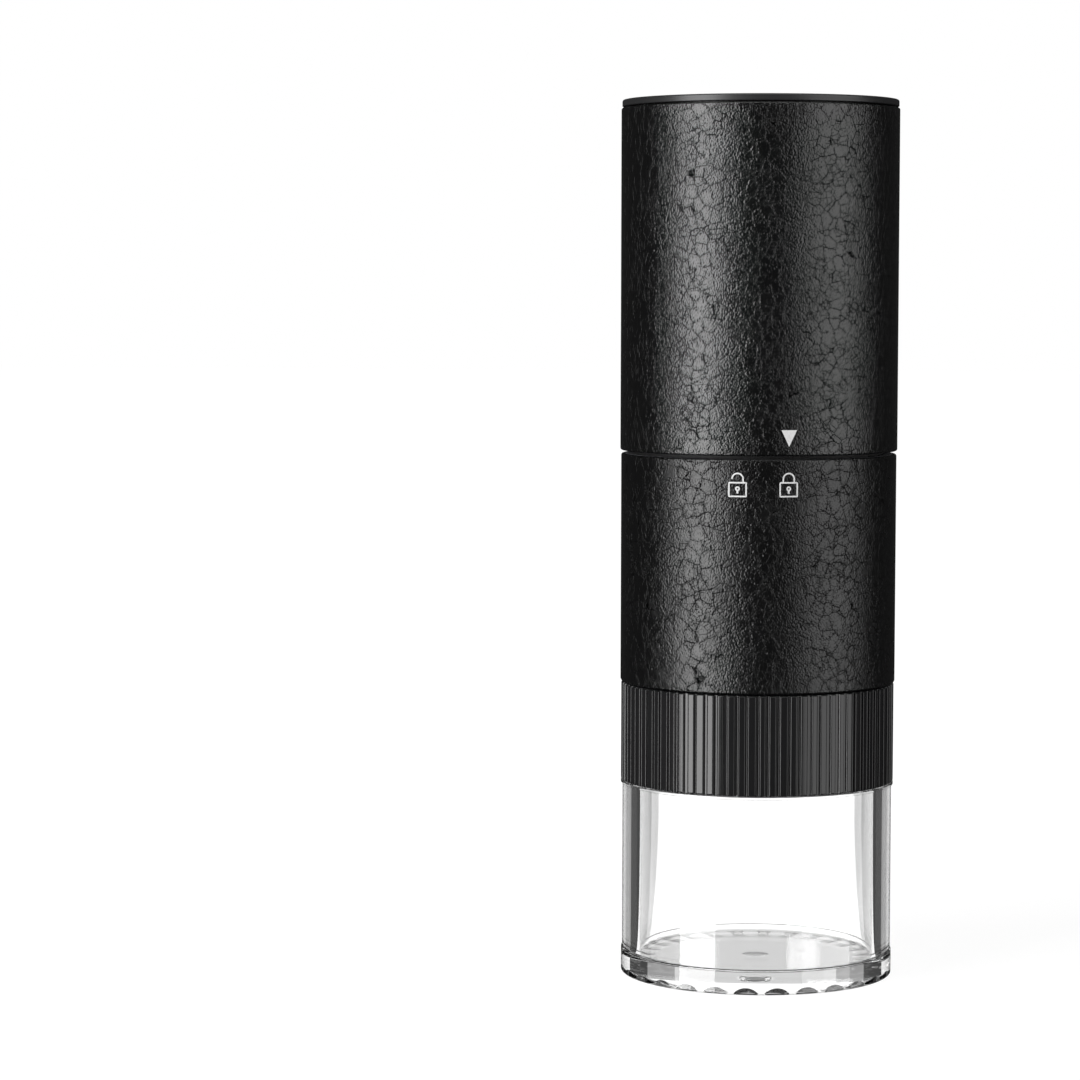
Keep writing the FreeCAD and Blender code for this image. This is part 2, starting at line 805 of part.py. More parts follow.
def outer_burr():
    """Steel ring burr: a steep toothed cone that closes towards its foot."""
    burr = Piece("outer_burr")
    bevel = p.burr_top - d.mouth_bevel
    burr.turned([
        (p.burr_foot, p.burr_bottom),
        (p.burr_outer, p.burr_bottom),
        (p.burr_outer, p.burr_top),
        (p.burr_mouth, p.burr_top),
        (p.burr_throat, bevel),
        (p.burr_waist, p.waist),
    ])
    hole = burr.rod(
        d.screw_radius + d.seat_gap, d.screw_length, cut=True, x=-p.burr_screw_circle, z=p.burr_bottom,
    )
    burr.around(hole, 3)
    lean = arc_tangent((p.burr_foot - p.burr_throat) / (bevel - p.burr_bottom))
    tooth = burr.prism(
        3, d.outer_tooth_size, d.burr_height * 1.3, cut=True,
        x=p.burr_foot, z=p.burr_bottom - d.outer_tooth_size, pitch=-lean * 0.6, roll=d.blade_lean / 3,
    )
    burr.around(tooth, d.outer_teeth)
    return burr


def inner_burr():
    """Steel cone burr: fine teeth at its foot and slanted blades above them."""
    burr = Piece("inner_burr")
    burr.turned([
        (p.shaft_bore, p.burr_bottom),
        (p.inner_burr_foot, p.burr_bottom),
        (p.inner_burr_waist, p.waist),
        (d.inner_burr_top, p.inner_burr_top),
        (p.shaft_bore, p.inner_burr_top),
    ])
    rise = p.inner_burr_top - p.waist
    steep = arc_tangent((p.inner_burr_waist - d.inner_burr_top) / rise)
    blade = burr.prism(
        3, d.blade_groove, rise * 2, cut=True,
        x=p.inner_burr_waist, z=p.waist, yaw=180, pitch=steep, roll=d.blade_lean,
    )
    burr.around(blade, d.blade_count)
    lean = arc_tangent((p.inner_burr_foot - p.inner_burr_waist) / d.fine_height)
    tooth = burr.prism(
        3, d.fine_tooth_size, d.fine_height * 1.6, cut=True,
        x=p.inner_burr_foot, z=p.burr_bottom - d.fine_tooth_size, yaw=180, pitch=lean * 0.7,
        roll=d.blade_lean / 3,
    )
    burr.around(tooth, d.fine_teeth)
    return burr


def screw_group(label, x, z, count, length, down=False, turn=0):
    """Small screws in a ring about Z, with few faces: the head sits at level z.

    Down says that the head is at the top and the shank points down.
    """
    screws = Piece(label, turn=turn)
    head_low = z if down else z - d.screw_head_height
    shank_low = z - length if down else z
    screws.around(screws.prism(8, d.screw_head, d.screw_head_height, x=x, z=head_low), count)
    screws.around(screws.prism(6, d.screw_radius, length, x=x, z=shank_low), count)
    return screws


def burr_screws():
    return screw_group(
        "burr_screws", -p.burr_screw_circle, p.carrier_bottom, 3, d.carrier_lip + d.screw_length * 0.8,
    )


# Drive shaft

def drive_shaft():
    """Steel shaft from the burr nut up to the coupling."""
    shaft = Piece("drive_shaft")
    tip = d.shaft_radius - d.shaft_edge
    shaft.turned([
        (0, p.shaft_bottom),
        (tip, p.shaft_bottom),
        (d.shaft_radius, p.shaft_bottom + d.shaft_edge),
        (d.shaft_radius, p.dog_top - d.shaft_edge),
        (tip, p.dog_top),
        (0, p.dog_top),
    ])
    return shaft


def burr_nut():
    """Hexagon nut below the inner burr."""
    nut = Piece("burr_nut")
    nut.prism(6, d.nut_radius, d.nut_height, z=p.nut_bottom)
    nut.rod(p.shaft_bore, d.nut_height, cut=True, z=p.nut_bottom)
    return nut


def burr_washer():
    washer = Piece("burr_washer")
    low = p.nut_top + d.seat_gap
    washer.turned(tube(p.shaft_bore, d.washer_radius, low, low + d.washer_height))
    return washer


def burr_spacer():
    """Sleeve on the shaft between the inner burr and the lower bearing."""
    spacer = Piece("burr_spacer")
    low = p.inner_burr_top + d.seat_gap
    spacer.turned(tube(p.shaft_bore, d.spacer_radius, low, p.bearing_bottom - d.seat_gap))
    return spacer


def drive_dog():
    """Three-winged dog on the end of the shaft."""
    dog = Piece("drive_dog")
    dog.turned(tube(p.shaft_bore, d.dog_hub, p.dog_bottom, p.dog_top))
    wing = dog.turned(
        tube(d.dog_hub - 1, d.dog_reach, p.socket_bottom, p.dog_top), angle=d.dog_angle,
    )
    dog.around(wing, 3)
    return dog


def spoked(piece, hub, rim, height, low):
    """Add three arms from a hub radius to a rim radius."""
    arm = piece.block(rim - hub, d.arm_width, height, x=hub, z=low)
    piece.around(arm, 3)


def bearing_bridge():
    """Three-armed bridge across the inlet, with the lower bearing in its hub."""
    bridge = Piece("bearing_bridge")
    low = p.plate_top + d.seat_gap
    top = p.bearing_top + d.seat_gap
    bridge.turned(tube(p.inlet_radius, p.rim_outer, low, p.rim_top))
    spoked(bridge, p.hub_outer - 1, p.inlet_radius + 1, p.rim_top - low, low)
    bridge.turned([
        (d.spacer_radius + d.slide_gap, p.bearing_bottom - d.hub_base),
        (p.hub_outer - d.hub_base, p.bearing_bottom - d.hub_base),
        (p.hub_outer, p.bearing_bottom),
        (p.hub_outer, top),
        (d.bearing_radius + d.seat_gap, top),
        (d.bearing_radius + d.seat_gap, p.bearing_bottom - d.seat_gap),
        (d.spacer_radius + d.slide_gap, p.bearing_bottom - d.seat_gap),
    ])
    hole = bridge.rod(
        d.screw_radius + d.seat_gap, d.bridge_height, cut=True, x=-p.rim_screw_circle, z=low,
    )
    bridge.around(hole, 3)
    return bridge


def shaft_bearing():
    """Shielded ball bearing, with a shallow track between its rings."""
    bearing = Piece("shaft_bearing")
    inner = d.shaft_radius + (d.bearing_radius - d.shaft_radius) / 3
    outer = d.bearing_radius - (d.bearing_radius - d.shaft_radius) / 3
    sink = d.face_gap
    bearing.turned([
        (p.shaft_bore, p.bearing_bottom),
        (inner, p.bearing_bottom),
        (inner, p.bearing_bottom + sink),
        (outer, p.bearing_bottom + sink),
        (outer, p.bearing_bottom),
        (d.bearing_radius, p.bearing_bottom),
        (d.bearing_radius, p.bearing_top),
        (outer, p.bearing_top),
        (outer, p.bearing_top - sink),
        (inner, p.bearing_top - sink),
        (inner, p.bearing_top),
        (p.shaft_bore, p.bearing_top),
    ])
    return bearing


def bridge_screws():
    return screw_group("bridge_screws", -p.rim_screw_circle, p.rim_top, 3, d.screw_length, down=True)


# Bean hopper

def sleeve(label, radius, low, high):
    """Leather sleeve with eased edges."""
    leather = Piece(label)
    inner = radius - d.wrap_thickness
    leather.turned([
        (inner, low),
        (radius - d.wrap_edge, low),
        (radius, low + d.wrap_edge),
        (radius, high - d.wrap_edge),
        (radius - d.wrap_edge, high),
        (inner, high),
    ])
    return leather


def hopper_wrap():
    return sleeve("hopper_wrap", p.hopper_radius, p.hopper_bottom, p.hopper_top)


def hopper_shell():
    """Hopper tube, whose mouth holds the head's lugs in three channels."""
    shell = Piece("hopper_shell")
    shell.turned([
        (p.hopper_bore, p.hopper_bottom),
        (p.hopper_shell, p.hopper_bottom),
        (p.hopper_shell, p.hopper_top),
        (p.mouth_bore, p.hopper_top),
        (p.mouth_bore, p.mouth_bottom),
        (p.hopper_bore, p.top_bridge_top + d.seat_gap),
    ])
    channel = shell.turned(
        tube(p.mouth_bore - 1, p.channel_outer, p.channel_bottom, p.channel_top),
        angle=p.channel_angle, turn=-d.lock_turn / 2, cut=True,
    )
    shell.around(channel, 3)
    entry = shell.turned(
        tube(p.mouth_bore - 1, p.channel_outer, p.channel_bottom, p.hopper_top + 1),
        angle=p.gap_angle, turn=-d.lock_turn, cut=True,
    )
    shell.around(entry, 3)
    return shell


def hopper_funnel():
    """Bean funnel: a liner with a sloped floor around the burr inlet."""
    funnel = Piece("hopper_funnel")
    throat_outer = p.rim_outer + d.seat_gap
    knee = p.rim_top + d.funnel_slope
    funnel.turned([
        (p.funnel_inner, p.plate_top + d.seat_gap),
        (p.plate_outer, p.plate_top + d.seat_gap),
        (p.plate_outer, p.funnel_top),
        (p.funnel_inner, p.funnel_top),
        (p.funnel_inner, knee),
        (p.funnel_throat, p.rim_top + d.screw_head_height + d.seat_gap),
        (throat_outer, p.rim_top + d.screw_head_height + d.seat_gap),
        (p.funnel_inner, knee - 2 * d.funnel_wall),
    ])
    return funnel


def top_bridge():
    """Three-armed bridge in the hopper's mouth, which steadies the shaft."""
    bridge = Piece("top_bridge")
    inner = p.plate_outer - d.top_bridge_rim
    bridge.turned(tube(inner, p.plate_outer, p.top_bridge_bottom, p.top_bridge_top))
    hub = p.bush_outer + d.top_hub_wall
    spoked(bridge, hub - 1, inner + 1, d.top_bridge_height, p.top_bridge_bottom)
    bridge.turned(tube(p.bush_outer + d.seat_gap, hub, p.top_bridge_bottom, p.top_bridge_top))
    return bridge


def top_bush():
    bush = Piece("top_bush")
    bush.turned(tube(p.shaft_bore, p.bush_outer, p.top_bridge_bottom, p.bush_top))
    return bush


# Motor head: housing

def port_cut(piece, inner, reach):
    """Cut the charging port through a wall at the back."""
    width = d.socket_width + 2 * d.port_margin
    height = d.socket_height + 2 * d.port_margin
    half = (width - height) / 2
    piece.block(width - height, reach, height, cut=True, x=-half, y=inner + reach / 2, z=p.port_level - height / 2)
    for side in (-1, 1):
        piece.rod(height / 2, reach, cut=True, x=half * side, y=inner + reach, z=p.port_level, roll=90)


def head_wrap():
    leather = sleeve("head_wrap", d.body_radius, p.head_bottom, p.head_top)
    port_cut(leather, p.head_bore, d.shell_wall + d.wrap_thickness + 1)
    return leather


def head_shell():
    """Tube of the motor head, with the charging port at the back."""
    shell = Piece("head_shell")
    shell.turned(tube(p.head_bore, p.head_shell, p.head_bottom, p.head_top))
    port_cut(shell, p.head_bore - 1, d.shell_wall + 2)
    return shell


def head_base():
    """Lower plate of the head, with the spigot and lugs of the bayonet."""
    base = Piece("head_base")
    spigot_bore = p.spigot_radius - d.spigot_wall
    base.turned([
        (d.shaft_hole, p.base_bottom),
        (spigot_bore, p.base_bottom),
        (spigot_bore, p.spigot_bottom),
        (p.spigot_radius, p.spigot_bottom),
        (p.spigot_radius, p.head_bottom),
        (p.insert_outer, p.head_bottom),
        (p.insert_outer, p.base_top),
        (d.shaft_hole, p.base_top),
    ])
    lug = base.turned(
        tube(p.spigot_radius - 1, p.lug_outer, p.lug_bottom, p.lug_top), angle=d.lug_angle,
    )
    base.around(lug, 3)
    corner = p.head_screw_circle * cosine(as_size(45))
    hole = base.rod(
        d.screw_radius + d.seat_gap, p.base_top - p.base_bottom, cut=True, x=corner, y=corner, z=p.base_bottom,
    )
    base.around(hole, 4)
    return base


def head_seal():
    """Ring seal in the seam between the head and the hopper."""
    seal = Piece("head_seal")
    seal.turned(tube(
        p.spigot_radius + d.seat_gap, p.head_bore - d.slide_gap,
        p.hopper_top + d.seat_gap, p.head_bottom - d.seat_gap,
    ))
    return seal


def head_screws():
    return screw_group(
        "head_screws", p.head_screw_circle, p.base_bottom, 4, p.base_top - p.base_bottom + d.screw_length, turn=45,
    )


def shaft_seal():
    """Lip seal that keeps coffee out of the gearbox."""
    seal = Piece("shaft_seal")
    seal.turned(tube(
        d.output_radius + d.shaft_gap, d.shaft_hole - d.seat_gap, p.base_bottom, p.base_bottom + d.seal_height,
    ))
    return seal


# Motor head: gearbox

def tooth_spaces(piece, teeth, tip, base, level, height, turn):
    """Cut the spaces between the teeth of a wheel, straight from base to tip."""
    pitch = 180 / teeth
    at_tip = pitch - p.half_tooth(d, teeth, tip, d.tooth_play)
    at_base = pitch - p.half_tooth(d, teeth, base, d.tooth_play)
    beyond = tip + d.tooth_top
    corners = [(base, at_base), (tip, at_tip), (beyond, at_tip)]
    points = [(radius * cosine(angle), radius * sine(angle)) for radius, angle in corners]
    mirrored = [(x, -y) for x, y in reversed(points)]
    space = piece.slotted(points + mirrored, level, height, turn)
    piece.around(space, teeth)


def wheel(piece, teeth, bore, level, height, turn):
    """Add a toothed wheel about Z, with a bore if one is given."""
    tip = p.pitch_radius(d, teeth) + d.tooth_top
    base = p.pitch_radius(d, teeth) - d.tooth_root
    piece.rod(tip, height, z=level)
    tooth_spaces(piece, teeth, tip, base, level, height, turn)
    if bore:
        piece.rod(bore, height, cut=True, z=level)


def gearbox_case():
    """Gearbox cup with the ring gear's teeth cut inside its wall."""
    case = Piece("gearbox_case")
    bush = d.output_radius + d.shaft_gap + d.bush_wall + d.seat_gap
    case.turned([
        (bush, p.case_bottom),
        (p.case_outer, p.case_bottom),
        (p.case_outer, p.lid_bottom),
        (p.ring_tip, p.lid_bottom),
        (p.ring_tip, p.floor_top),
        (bush, p.floor_top),
    ])
    at_tip = p.half_tooth(d, p.ring_teeth, p.ring_tip, -d.tooth_play)
    at_root = p.half_tooth(d, p.ring_teeth, p.ring_root, -d.tooth_play)
    inside = p.ring_tip - d.tooth_top
    corners = [(inside, at_tip), (p.ring_tip, at_tip), (p.ring_root, at_root)]
    points = [(radius * cosine(angle), radius * sine(angle)) for radius, angle in corners]
    mirrored = [(x, -y) for x, y in reversed(points)]
    space = case.slotted(points + mirrored, p.output_plate, p.lid_bottom - p.output_plate, p.ring_turn)
    case.around(space, p.ring_teeth)
    return case


def output_bush():
    bush = Piece("output_bush")
    inner = d.output_radius + d.shaft_gap
    bush.turned(tube(inner, inner + d.bush_wall, p.case_bottom, p.floor_top))
    return bush


def planet_pins(piece, level):
    """Add the three pins that planets turn on."""
    pin = piece.rod(d.planet_pin, d.gear_width + 2 * d.gear_rise - d.seat_gap, x=p.planet_circle, z=level)
    piece.around(pin, 3)


def output_carrier():
    """Output shaft with the plate and pins of the second planet set."""
    carrier = Piece("output_carrier")
    carrier.turned([
        (0, p.socket_top),
        (d.output_radius, p.socket_top),
        (d.output_radius, p.output_plate),
        (p.spider_outer, p.output_plate),
        (p.spider_outer, p.output_plate + d.spider_plate),
        (0, p.output_plate + d.spider_plate),
    ])
    planet_pins(carrier, p.output_plate + d.spider_plate)
    return carrier


def drive_socket():
    """Socket below the output shaft, with three keys that push the dog's wings."""
    socket = Piece("drive_socket")
    socket.turned([
        (0, p.socket_floor),
        (p.socket_bore, p.socket_floor),
        (p.socket_bore, p.socket_bottom),
        (p.socket_outer, p.socket_bottom),
        (p.socket_outer, p.socket_top),
        (0, p.socket_top),
    ])
    key = socket.turned(
        tube(d.dog_hub + d.slide_gap, p.socket_bore + 1, p.socket_bottom, p.socket_floor),
        angle=d.dog_angle, turn=d.socket_turn,
    )
    socket.around(key, 3)
    return socket


def planet(label, number, level):
    """One planet wheel, with a space between teeth facing the sun."""
    place = as_size(120 * number)
    gear = Piece(
        label, x=p.planet_circle * cosine(place), y=p.planet_circle * sine(place), z=level, turn=place + 180,
    )
    wheel(gear, p.planet_teeth, d.planet_pin + d.shaft_gap, 0, d.gear_width, 0)
    return gear


def first_carrier():
    """Middle carrier: the second stage's sun below and the first stage's pins above."""
    carrier = Piece("first_carrier")
    height = p.first_plate - p.output_gears
    wheel(carrier, p.sun_teeth, None, p.output_gears, height, p.sun_turn)
    carrier.rod(p.spider_outer, d.spider_plate, z=p.first_plate)
    planet_pins(carrier, p.first_plate + d.spider_plate)
    return carrier


def motor_pinion():
    """First stage's sun, on the motor's shaft."""
    pinion = Piece("motor_pinion")
    wheel(pinion, p.sun_teeth, d.motor_shaft_radius + d.seat_gap, p.input_gears, d.gear_width, p.sun_turn)
    return pinion


def gearbox_lid():
    """Lid of the gearbox, which the motor is screwed to."""
    lid = Piece("gearbox_lid")
    lid.turned(tube(d.motor_boss + d.seat_gap, p.case_outer, p.lid_bottom, p.lid_top))
    hole = lid.rod(
        d.screw_radius + d.seat_gap, d.lid_height, cut=True, y=p.motor_screw_circle, z=p.lid_bottom,
    )
    lid.around(hole, 2)
    return lid


def motor_screws():
    return screw_group(
        "motor_screws", p.motor_screw_circle, p.lid_bottom, 2, d.lid_height + d.screw_length, turn=90,
    )


# Motor head: motor, cells and frame

def motor_can():
    """Motor with its front boss, bored for the shaft and its screws."""
    can = Piece("motor_can")
    boss_low = p.motor_bottom - d.motor_boss_height
    bore = d.motor_shaft_radius + d.shaft_gap
    deep = p.motor_bottom + d.rotor_depth
    can.turned([
        (bore, boss_low),
        (d.motor_boss, boss_low),
        (d.motor_boss, p.motor_bottom),
        (p.motor_radius, p.motor_bottom),
        (p.motor_radius, p.motor_top),
        (0, p.motor_top),
        (0, deep),
        (bore, deep),
    ])
    hole = can.rod(
        d.screw_radius + d.seat_gap, d.screw_length + 1, cut=True, y=p.motor_screw_circle, z=p.motor_bottom,
    )
    can.around(hole, 2)
    return can


def motor_end_cap():
    """Rear cap of the motor with its two solder tabs."""
    cap = Piece("motor_end_cap")
    low = p.motor_top + d.seat_gap
    cap.rod(p.motor_radius - d.end_cap_inset, d.end_cap_height, z=low)
    tab = cap.block(d.seat_gap * 10, d.tab_width, d.tab_height, x=d.tab_spread, z=p.end_cap_top)
    cap.around(tab, 2)
    return cap


def motor_shaft():
    shaft = Piece("motor_shaft")
    length = p.motor_bottom + d.rotor_depth - d.face_gap - p.input_gears
    shaft.rod(d.motor_shaft_radius, length, z=p.input_gears)
    return shaft


def motor_frame():
    """Frame inside the head: a ring for the cells, four posts and the board's stand."""
    frame = Piece("motor_frame")
    frame.turned(tube(p.case_outer + d.seat_gap, p.insert_outer, p.lid_bottom, p.lid_top))
    corner = p.head_screw_circle * cosine(as_size(45))
    low = p.base_top + d.seat_gap
    post = frame.rod(d.post_radius, p.lid_bottom - low, x=corner, y=corner, z=low)
    frame.around(post, 4)
    hole = frame.rod(
        d.screw_radius + d.seat_gap, d.screw_length + 1, cut=True, x=corner, y=corner, z=low,
    )
    frame.around(hole, 4)
    stand_top = p.board_bottom - d.seat_gap
    foot_reach = p.case_outer + d.upright_depth - p.upright_inner
    frame.around(frame.block(
        d.upright_width, foot_reach, d.lid_height, x=-d.upright_width / 2,
        y=p.upright_inner + foot_reach / 2, z=p.lid_top,
    ), 2)
    frame.around(frame.block(
        d.upright_width, d.upright_depth, stand_top - p.lid_top, x=-d.upright_width / 2,
        y=p.board_screw_row, z=p.lid_top,
    ), 2)
    frame.block(
        d.strap_width, 2 * (p.upright_inner + d.upright_depth), d.strap_height, x=-d.strap_width / 2,
        z=stand_top - d.strap_height,
    )
    frame.around(frame.rod(
        d.screw_radius + d.seat_gap, d.screw_length + 1, cut=True, y=p.board_screw_row,
        z=stand_top - d.screw_length,
    ), 2)
    return frame


def cell(label, side):
    """One lithium cell, standing beside the motor."""
    battery = Piece(label, x=p.cell_spread * side, z=p.cell_bottom)
    edge = d.cell_button_height / 3
    battery.turned([
        (0, 0),
        (d.cell_radius - edge, 0),
        (d.cell_radius, edge),
        (d.cell_radius, d.cell_height - edge),
        (d.cell_radius - edge, d.cell_height),
        (d.cell_button, d.cell_height),
        (d.cell_button, d.cell_height + d.cell_button_height),
        (0, d.cell_height + d.cell_button_height),
    ])
    return battery


# Motor head: board and charging socket

def control_board():
    """Board with its screw holes, lying between the cells."""
    board = Piece("control_board")
    board.block(p.board_width, p.board_length, d.board_height, x=-p.board_width / 2, z=p.board_bottom)
    board.rounded(d.board_corner, upright_edge)
    hole = board.rod(
        d.screw_radius + d.seat_gap, d.board_height, cut=True, y=p.board_screw_row, z=p.board_bottom,
    )
    board.around(hole, 2)
    return board


def board_chips():
    """Motor driver, charge controller and choke on the board."""
    chips = Piece("board_chips")
    chips.block(
        d.chip_width, d.chip_length, d.chip_height, x=p.chip_spread - d.chip_width / 2, y=-d.chip_row,
        z=p.part_level,
    )
    chips.block(
        d.chip_width, d.chip_width, d.chip_height * 0.6, x=-p.chip_spread - d.chip_width / 2,
        y=-d.chip_row, z=p.part_level,
    )
    chips.rod(d.coil_radius, d.coil_height, x=p.chip_spread, y=d.chip_row, z=p.part_level)
    return chips


def board_screws():
    return screw_group(
        "board_screws", p.board_screw_row, p.board_top, 2, d.screw_length, down=True, turn=90,
    )


def usb_socket():
    """Metal charging socket on the board's back edge, with its tongue."""
    socket = Piece("usb_socket")
    middle = p.port_mouth - d.socket_length / 2
    socket.block(
        d.socket_width, d.socket_length, d.socket_height, x=-d.socket_width / 2, y=middle, z=p.part_level,
    )
    socket.rounded(d.socket_corner, lengthwise_edge)
    depth = d.socket_length - 1
    socket.block(
        d.socket_width - 2 * d.socket_skin, depth, d.socket_height - 2 * d.socket_skin, cut=True,
        x=d.socket_skin - d.socket_width / 2, y=p.port_mouth - depth / 2, z=p.part_level + d.socket_skin,
    )
    tongue = depth - d.tongue_setback + 0.5
    socket.block(
        d.tongue_width, tongue, d.tongue_height, x=-d.tongue_width / 2,
        y=p.port_mouth - d.tongue_setback - tongue / 2, z=p.port_level - d.tongue_height / 2,
    )
    return socket


def tact_switch():
    """Push switch under the button, with a well for its plunger."""
    switch = Piece("tact_switch")
    switch.block(d.switch_width, d.switch_width, d.switch_height, x=-d.switch_width / 2, z=p.part_level)
    switch.rod(d.plunger_radius + d.slide_gap, p.switch_top - p.well_floor, cut=True, z=p.well_floor)
    return switch


def switch_plunger():
    plunger = Piece("switch_plunger")
    plunger.rod(d.plunger_radius, d.plunger_height, z=p.plunger_bottom)
    return plunger


# Motor head: cap and button

def power_button():
    """Round button, kept in by its flange, with a stem down to the switch."""
    button = Piece("power_button")
    stem_low = p.plunger_top + d.seat_gap
    button.turned([
        (0, stem_low),
        (d.plunger_radius, stem_low),
        (d.plunger_radius, p.flange_bottom),
        (p.flange_outer, p.flange_bottom),
        (p.flange_outer, p.flange_top),
        (d.button_radius, p.flange_top),
        (d.button_radius, p.button_top - d.button_edge),
        (d.button_radius - d.button_edge, p.button_top),
        (0, p.button_top),
    ])
    return button


def top_cap():
    """Cap of the head: an eased rim, a groove for the light and a guide for the button."""
    cap = Piece("top_cap")
    skirt_inner = p.insert_outer - d.cap_thickness
    skirt_low = p.cap_bottom - d.cap_skirt
    groove_floor = p.top - d.light_ring_height - d.seat_gap
    cap.turned([
        (p.button_bore, p.cap_bottom),
        (p.guide_bore, p.cap_bottom),
        (p.guide_bore, skirt_low),
        (p.guide_outer, skirt_low),
        (p.guide_outer, p.cap_bottom),
        (skirt_inner, p.cap_bottom),
        (skirt_inner, skirt_low),
        (p.insert_outer, skirt_low),
        (p.insert_outer, p.cap_bottom),
        (p.cap_radius, p.cap_bottom),
        (p.cap_radius, p.top - d.cap_edge),
        (p.cap_radius - d.cap_edge, p.top),
        (p.light_outer, p.top),
        (p.light_outer, groove_floor),
        (p.light_inner, groove_floor),
        (p.light_inner, p.top),
        (p.button_bore, p.top),
    ])
    return cap


def light_ring():
    """Light guide round the button."""
    ring = Piece("light_ring")
    ring.turned(tube(
        p.light_inner + d.seat_gap, p.light_outer - d.seat_gap, p.top - d.light_ring_height, p.top,
    ))
    return ring


def build():
    """Make every piece, in order from the cup to the button."""
    pieces = [
        grounds_cup(), cup_gasket(),
        grinder_collar(), retaining_ring(), bearing_bridge(), shaft_bearing(), bridge_screws(),
        hopper_shell(), hopper_wrap(), hopper_funnel(), top_bridge(), top_bush(),
        grind_ring(), drive_pins(),
        burr_carrier(), outer_burr(), burr_screws(),
        drive_shaft(), inner_burr(), burr_washer(), burr_nut(), burr_spacer(), drive_dog(),
        head_wrap(), head_shell(), head_base(), head_seal(), head_screws(), shaft_seal(),
        gearbox_case(), output_bush(), gearbox_lid(), motor_screws(),
        motor_can(), motor_end_cap(), motor_frame(), cell("battery_left", -1), cell("battery_right", 1),
        control_board(), board_chips(), board_screws(), usb_socket(), tact_switch(),
        top_cap(), light_ring(),
        power_button(), switch_plunger(),
        output_carrier(), drive_socket(),
        first_carrier(),
        motor_shaft(), motor_pinion(),
    ]
    for number in range(3):
        pieces.append(planet("output_planet_%d" % (number + 1), number, p.output_gears))
        pieces.append(planet("input_planet_%d" % (number + 1), number, p.input_gears))
    return pieces


def export(pieces):
    """Check the whole document, then write each piece to its own file."""
    DOCUMENT.recompute()
    faults = [
        "%s: %s" % (item.Label, ", ".join(item.State))
        for item in DOCUMENT.Objects if {"Invalid", "Error"} & set(item.State)
    ]
    faults += [
        "%s: no valid shape" % piece.body.Label
        for piece in pieces if piece.body.Shape.isNull() or not piece.body.Shape.isValid()
    ]
    if faults:
        raise RuntimeError("; ".join(faults))
    os.makedirs("parts", exist_ok=True)
    for piece in pieces:
        piece.body.Shape.exportStep("parts/%s.step" % piece.body.Label)


export(build())
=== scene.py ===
"""Looks of the hand-held coffee grinder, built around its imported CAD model.

Every length in the classes below is in millimetres, and the meshes are in metres.
+Z is up, the front with the lock marks is towards -Y, and the origin is the middle
of the cup's underside.
"""

import json
import logging
import math
from dataclasses import dataclass, field
from enum import Enum
from typing import Callable, Optional, Sequence

import bpy
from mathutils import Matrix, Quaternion, Vector

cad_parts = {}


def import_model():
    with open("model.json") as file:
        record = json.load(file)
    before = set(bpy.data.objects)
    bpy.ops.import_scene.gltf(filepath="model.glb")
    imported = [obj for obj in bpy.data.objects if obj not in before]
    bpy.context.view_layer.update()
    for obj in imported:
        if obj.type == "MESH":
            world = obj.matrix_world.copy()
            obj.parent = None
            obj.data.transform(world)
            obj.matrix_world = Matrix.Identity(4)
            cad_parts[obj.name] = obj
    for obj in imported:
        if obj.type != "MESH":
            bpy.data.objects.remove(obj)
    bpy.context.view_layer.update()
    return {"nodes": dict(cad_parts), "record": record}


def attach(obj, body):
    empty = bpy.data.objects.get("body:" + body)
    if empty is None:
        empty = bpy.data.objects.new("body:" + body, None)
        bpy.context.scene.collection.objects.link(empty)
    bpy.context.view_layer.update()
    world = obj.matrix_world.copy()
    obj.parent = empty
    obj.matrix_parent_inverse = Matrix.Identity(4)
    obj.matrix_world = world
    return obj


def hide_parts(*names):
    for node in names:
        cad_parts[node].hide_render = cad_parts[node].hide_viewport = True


LOG = logging.getLogger("grinder")
MM = 0.001
Point = tuple[float, float]
Colour = tuple[float, float, float]


class Segments(Enum):
    """How finely a round form is divided."""

    FINE = 256
    MEDIUM = 96
    SMALL = 48


class Socket(Enum):
    """The kinds of socket that an effect's group can have."""

    NUMBER = "NodeSocketFloat"
    PLACE = "NodeSocketVector"


# Workshop: modelling by operators

def put_down() -> None:
    """Leave edit mode and deselect everything."""
    if bpy.context.object and bpy.context.object.mode != "OBJECT":
        bpy.ops.object.mode_set(mode="OBJECT")
    bpy.ops.object.select_all(action="DESELECT")


def take(piece: bpy.types.Object) -> None:
    """Make one object the only selected and the active one.

    Args:
        piece: the object to work on.
    """
    put_down()
    piece.select_set(True)
    bpy.context.view_layer.objects.active = piece


def named(name: str) -> bpy.types.Object:
    """Name the active object and its mesh.

    Args:
        name: the piece's name.

    Returns:
        The active object.
    """
    piece = bpy.context.object
    piece.name = name
    piece.data.name = name
    return piece


def pick(piece: bpy.types.Object, wanted: Callable[[Vector], bool]) -> None:
    """Select the vertices whose place passes a test, in edit mode.

    Args:
        piece: the object, which is in edit mode.
        wanted: the test of a vertex's place, in millimetres.
    """
    bpy.ops.mesh.select_mode(type="VERT")
    bpy.ops.mesh.select_all(action="DESELECT")
    bpy.ops.object.mode_set(mode="OBJECT")
    place = piece.matrix_world
    for vertex in piece.data.vertices:
        vertex.select = wanted(place @ vertex.co / MM)
    bpy.ops.object.mode_set(mode="EDIT")


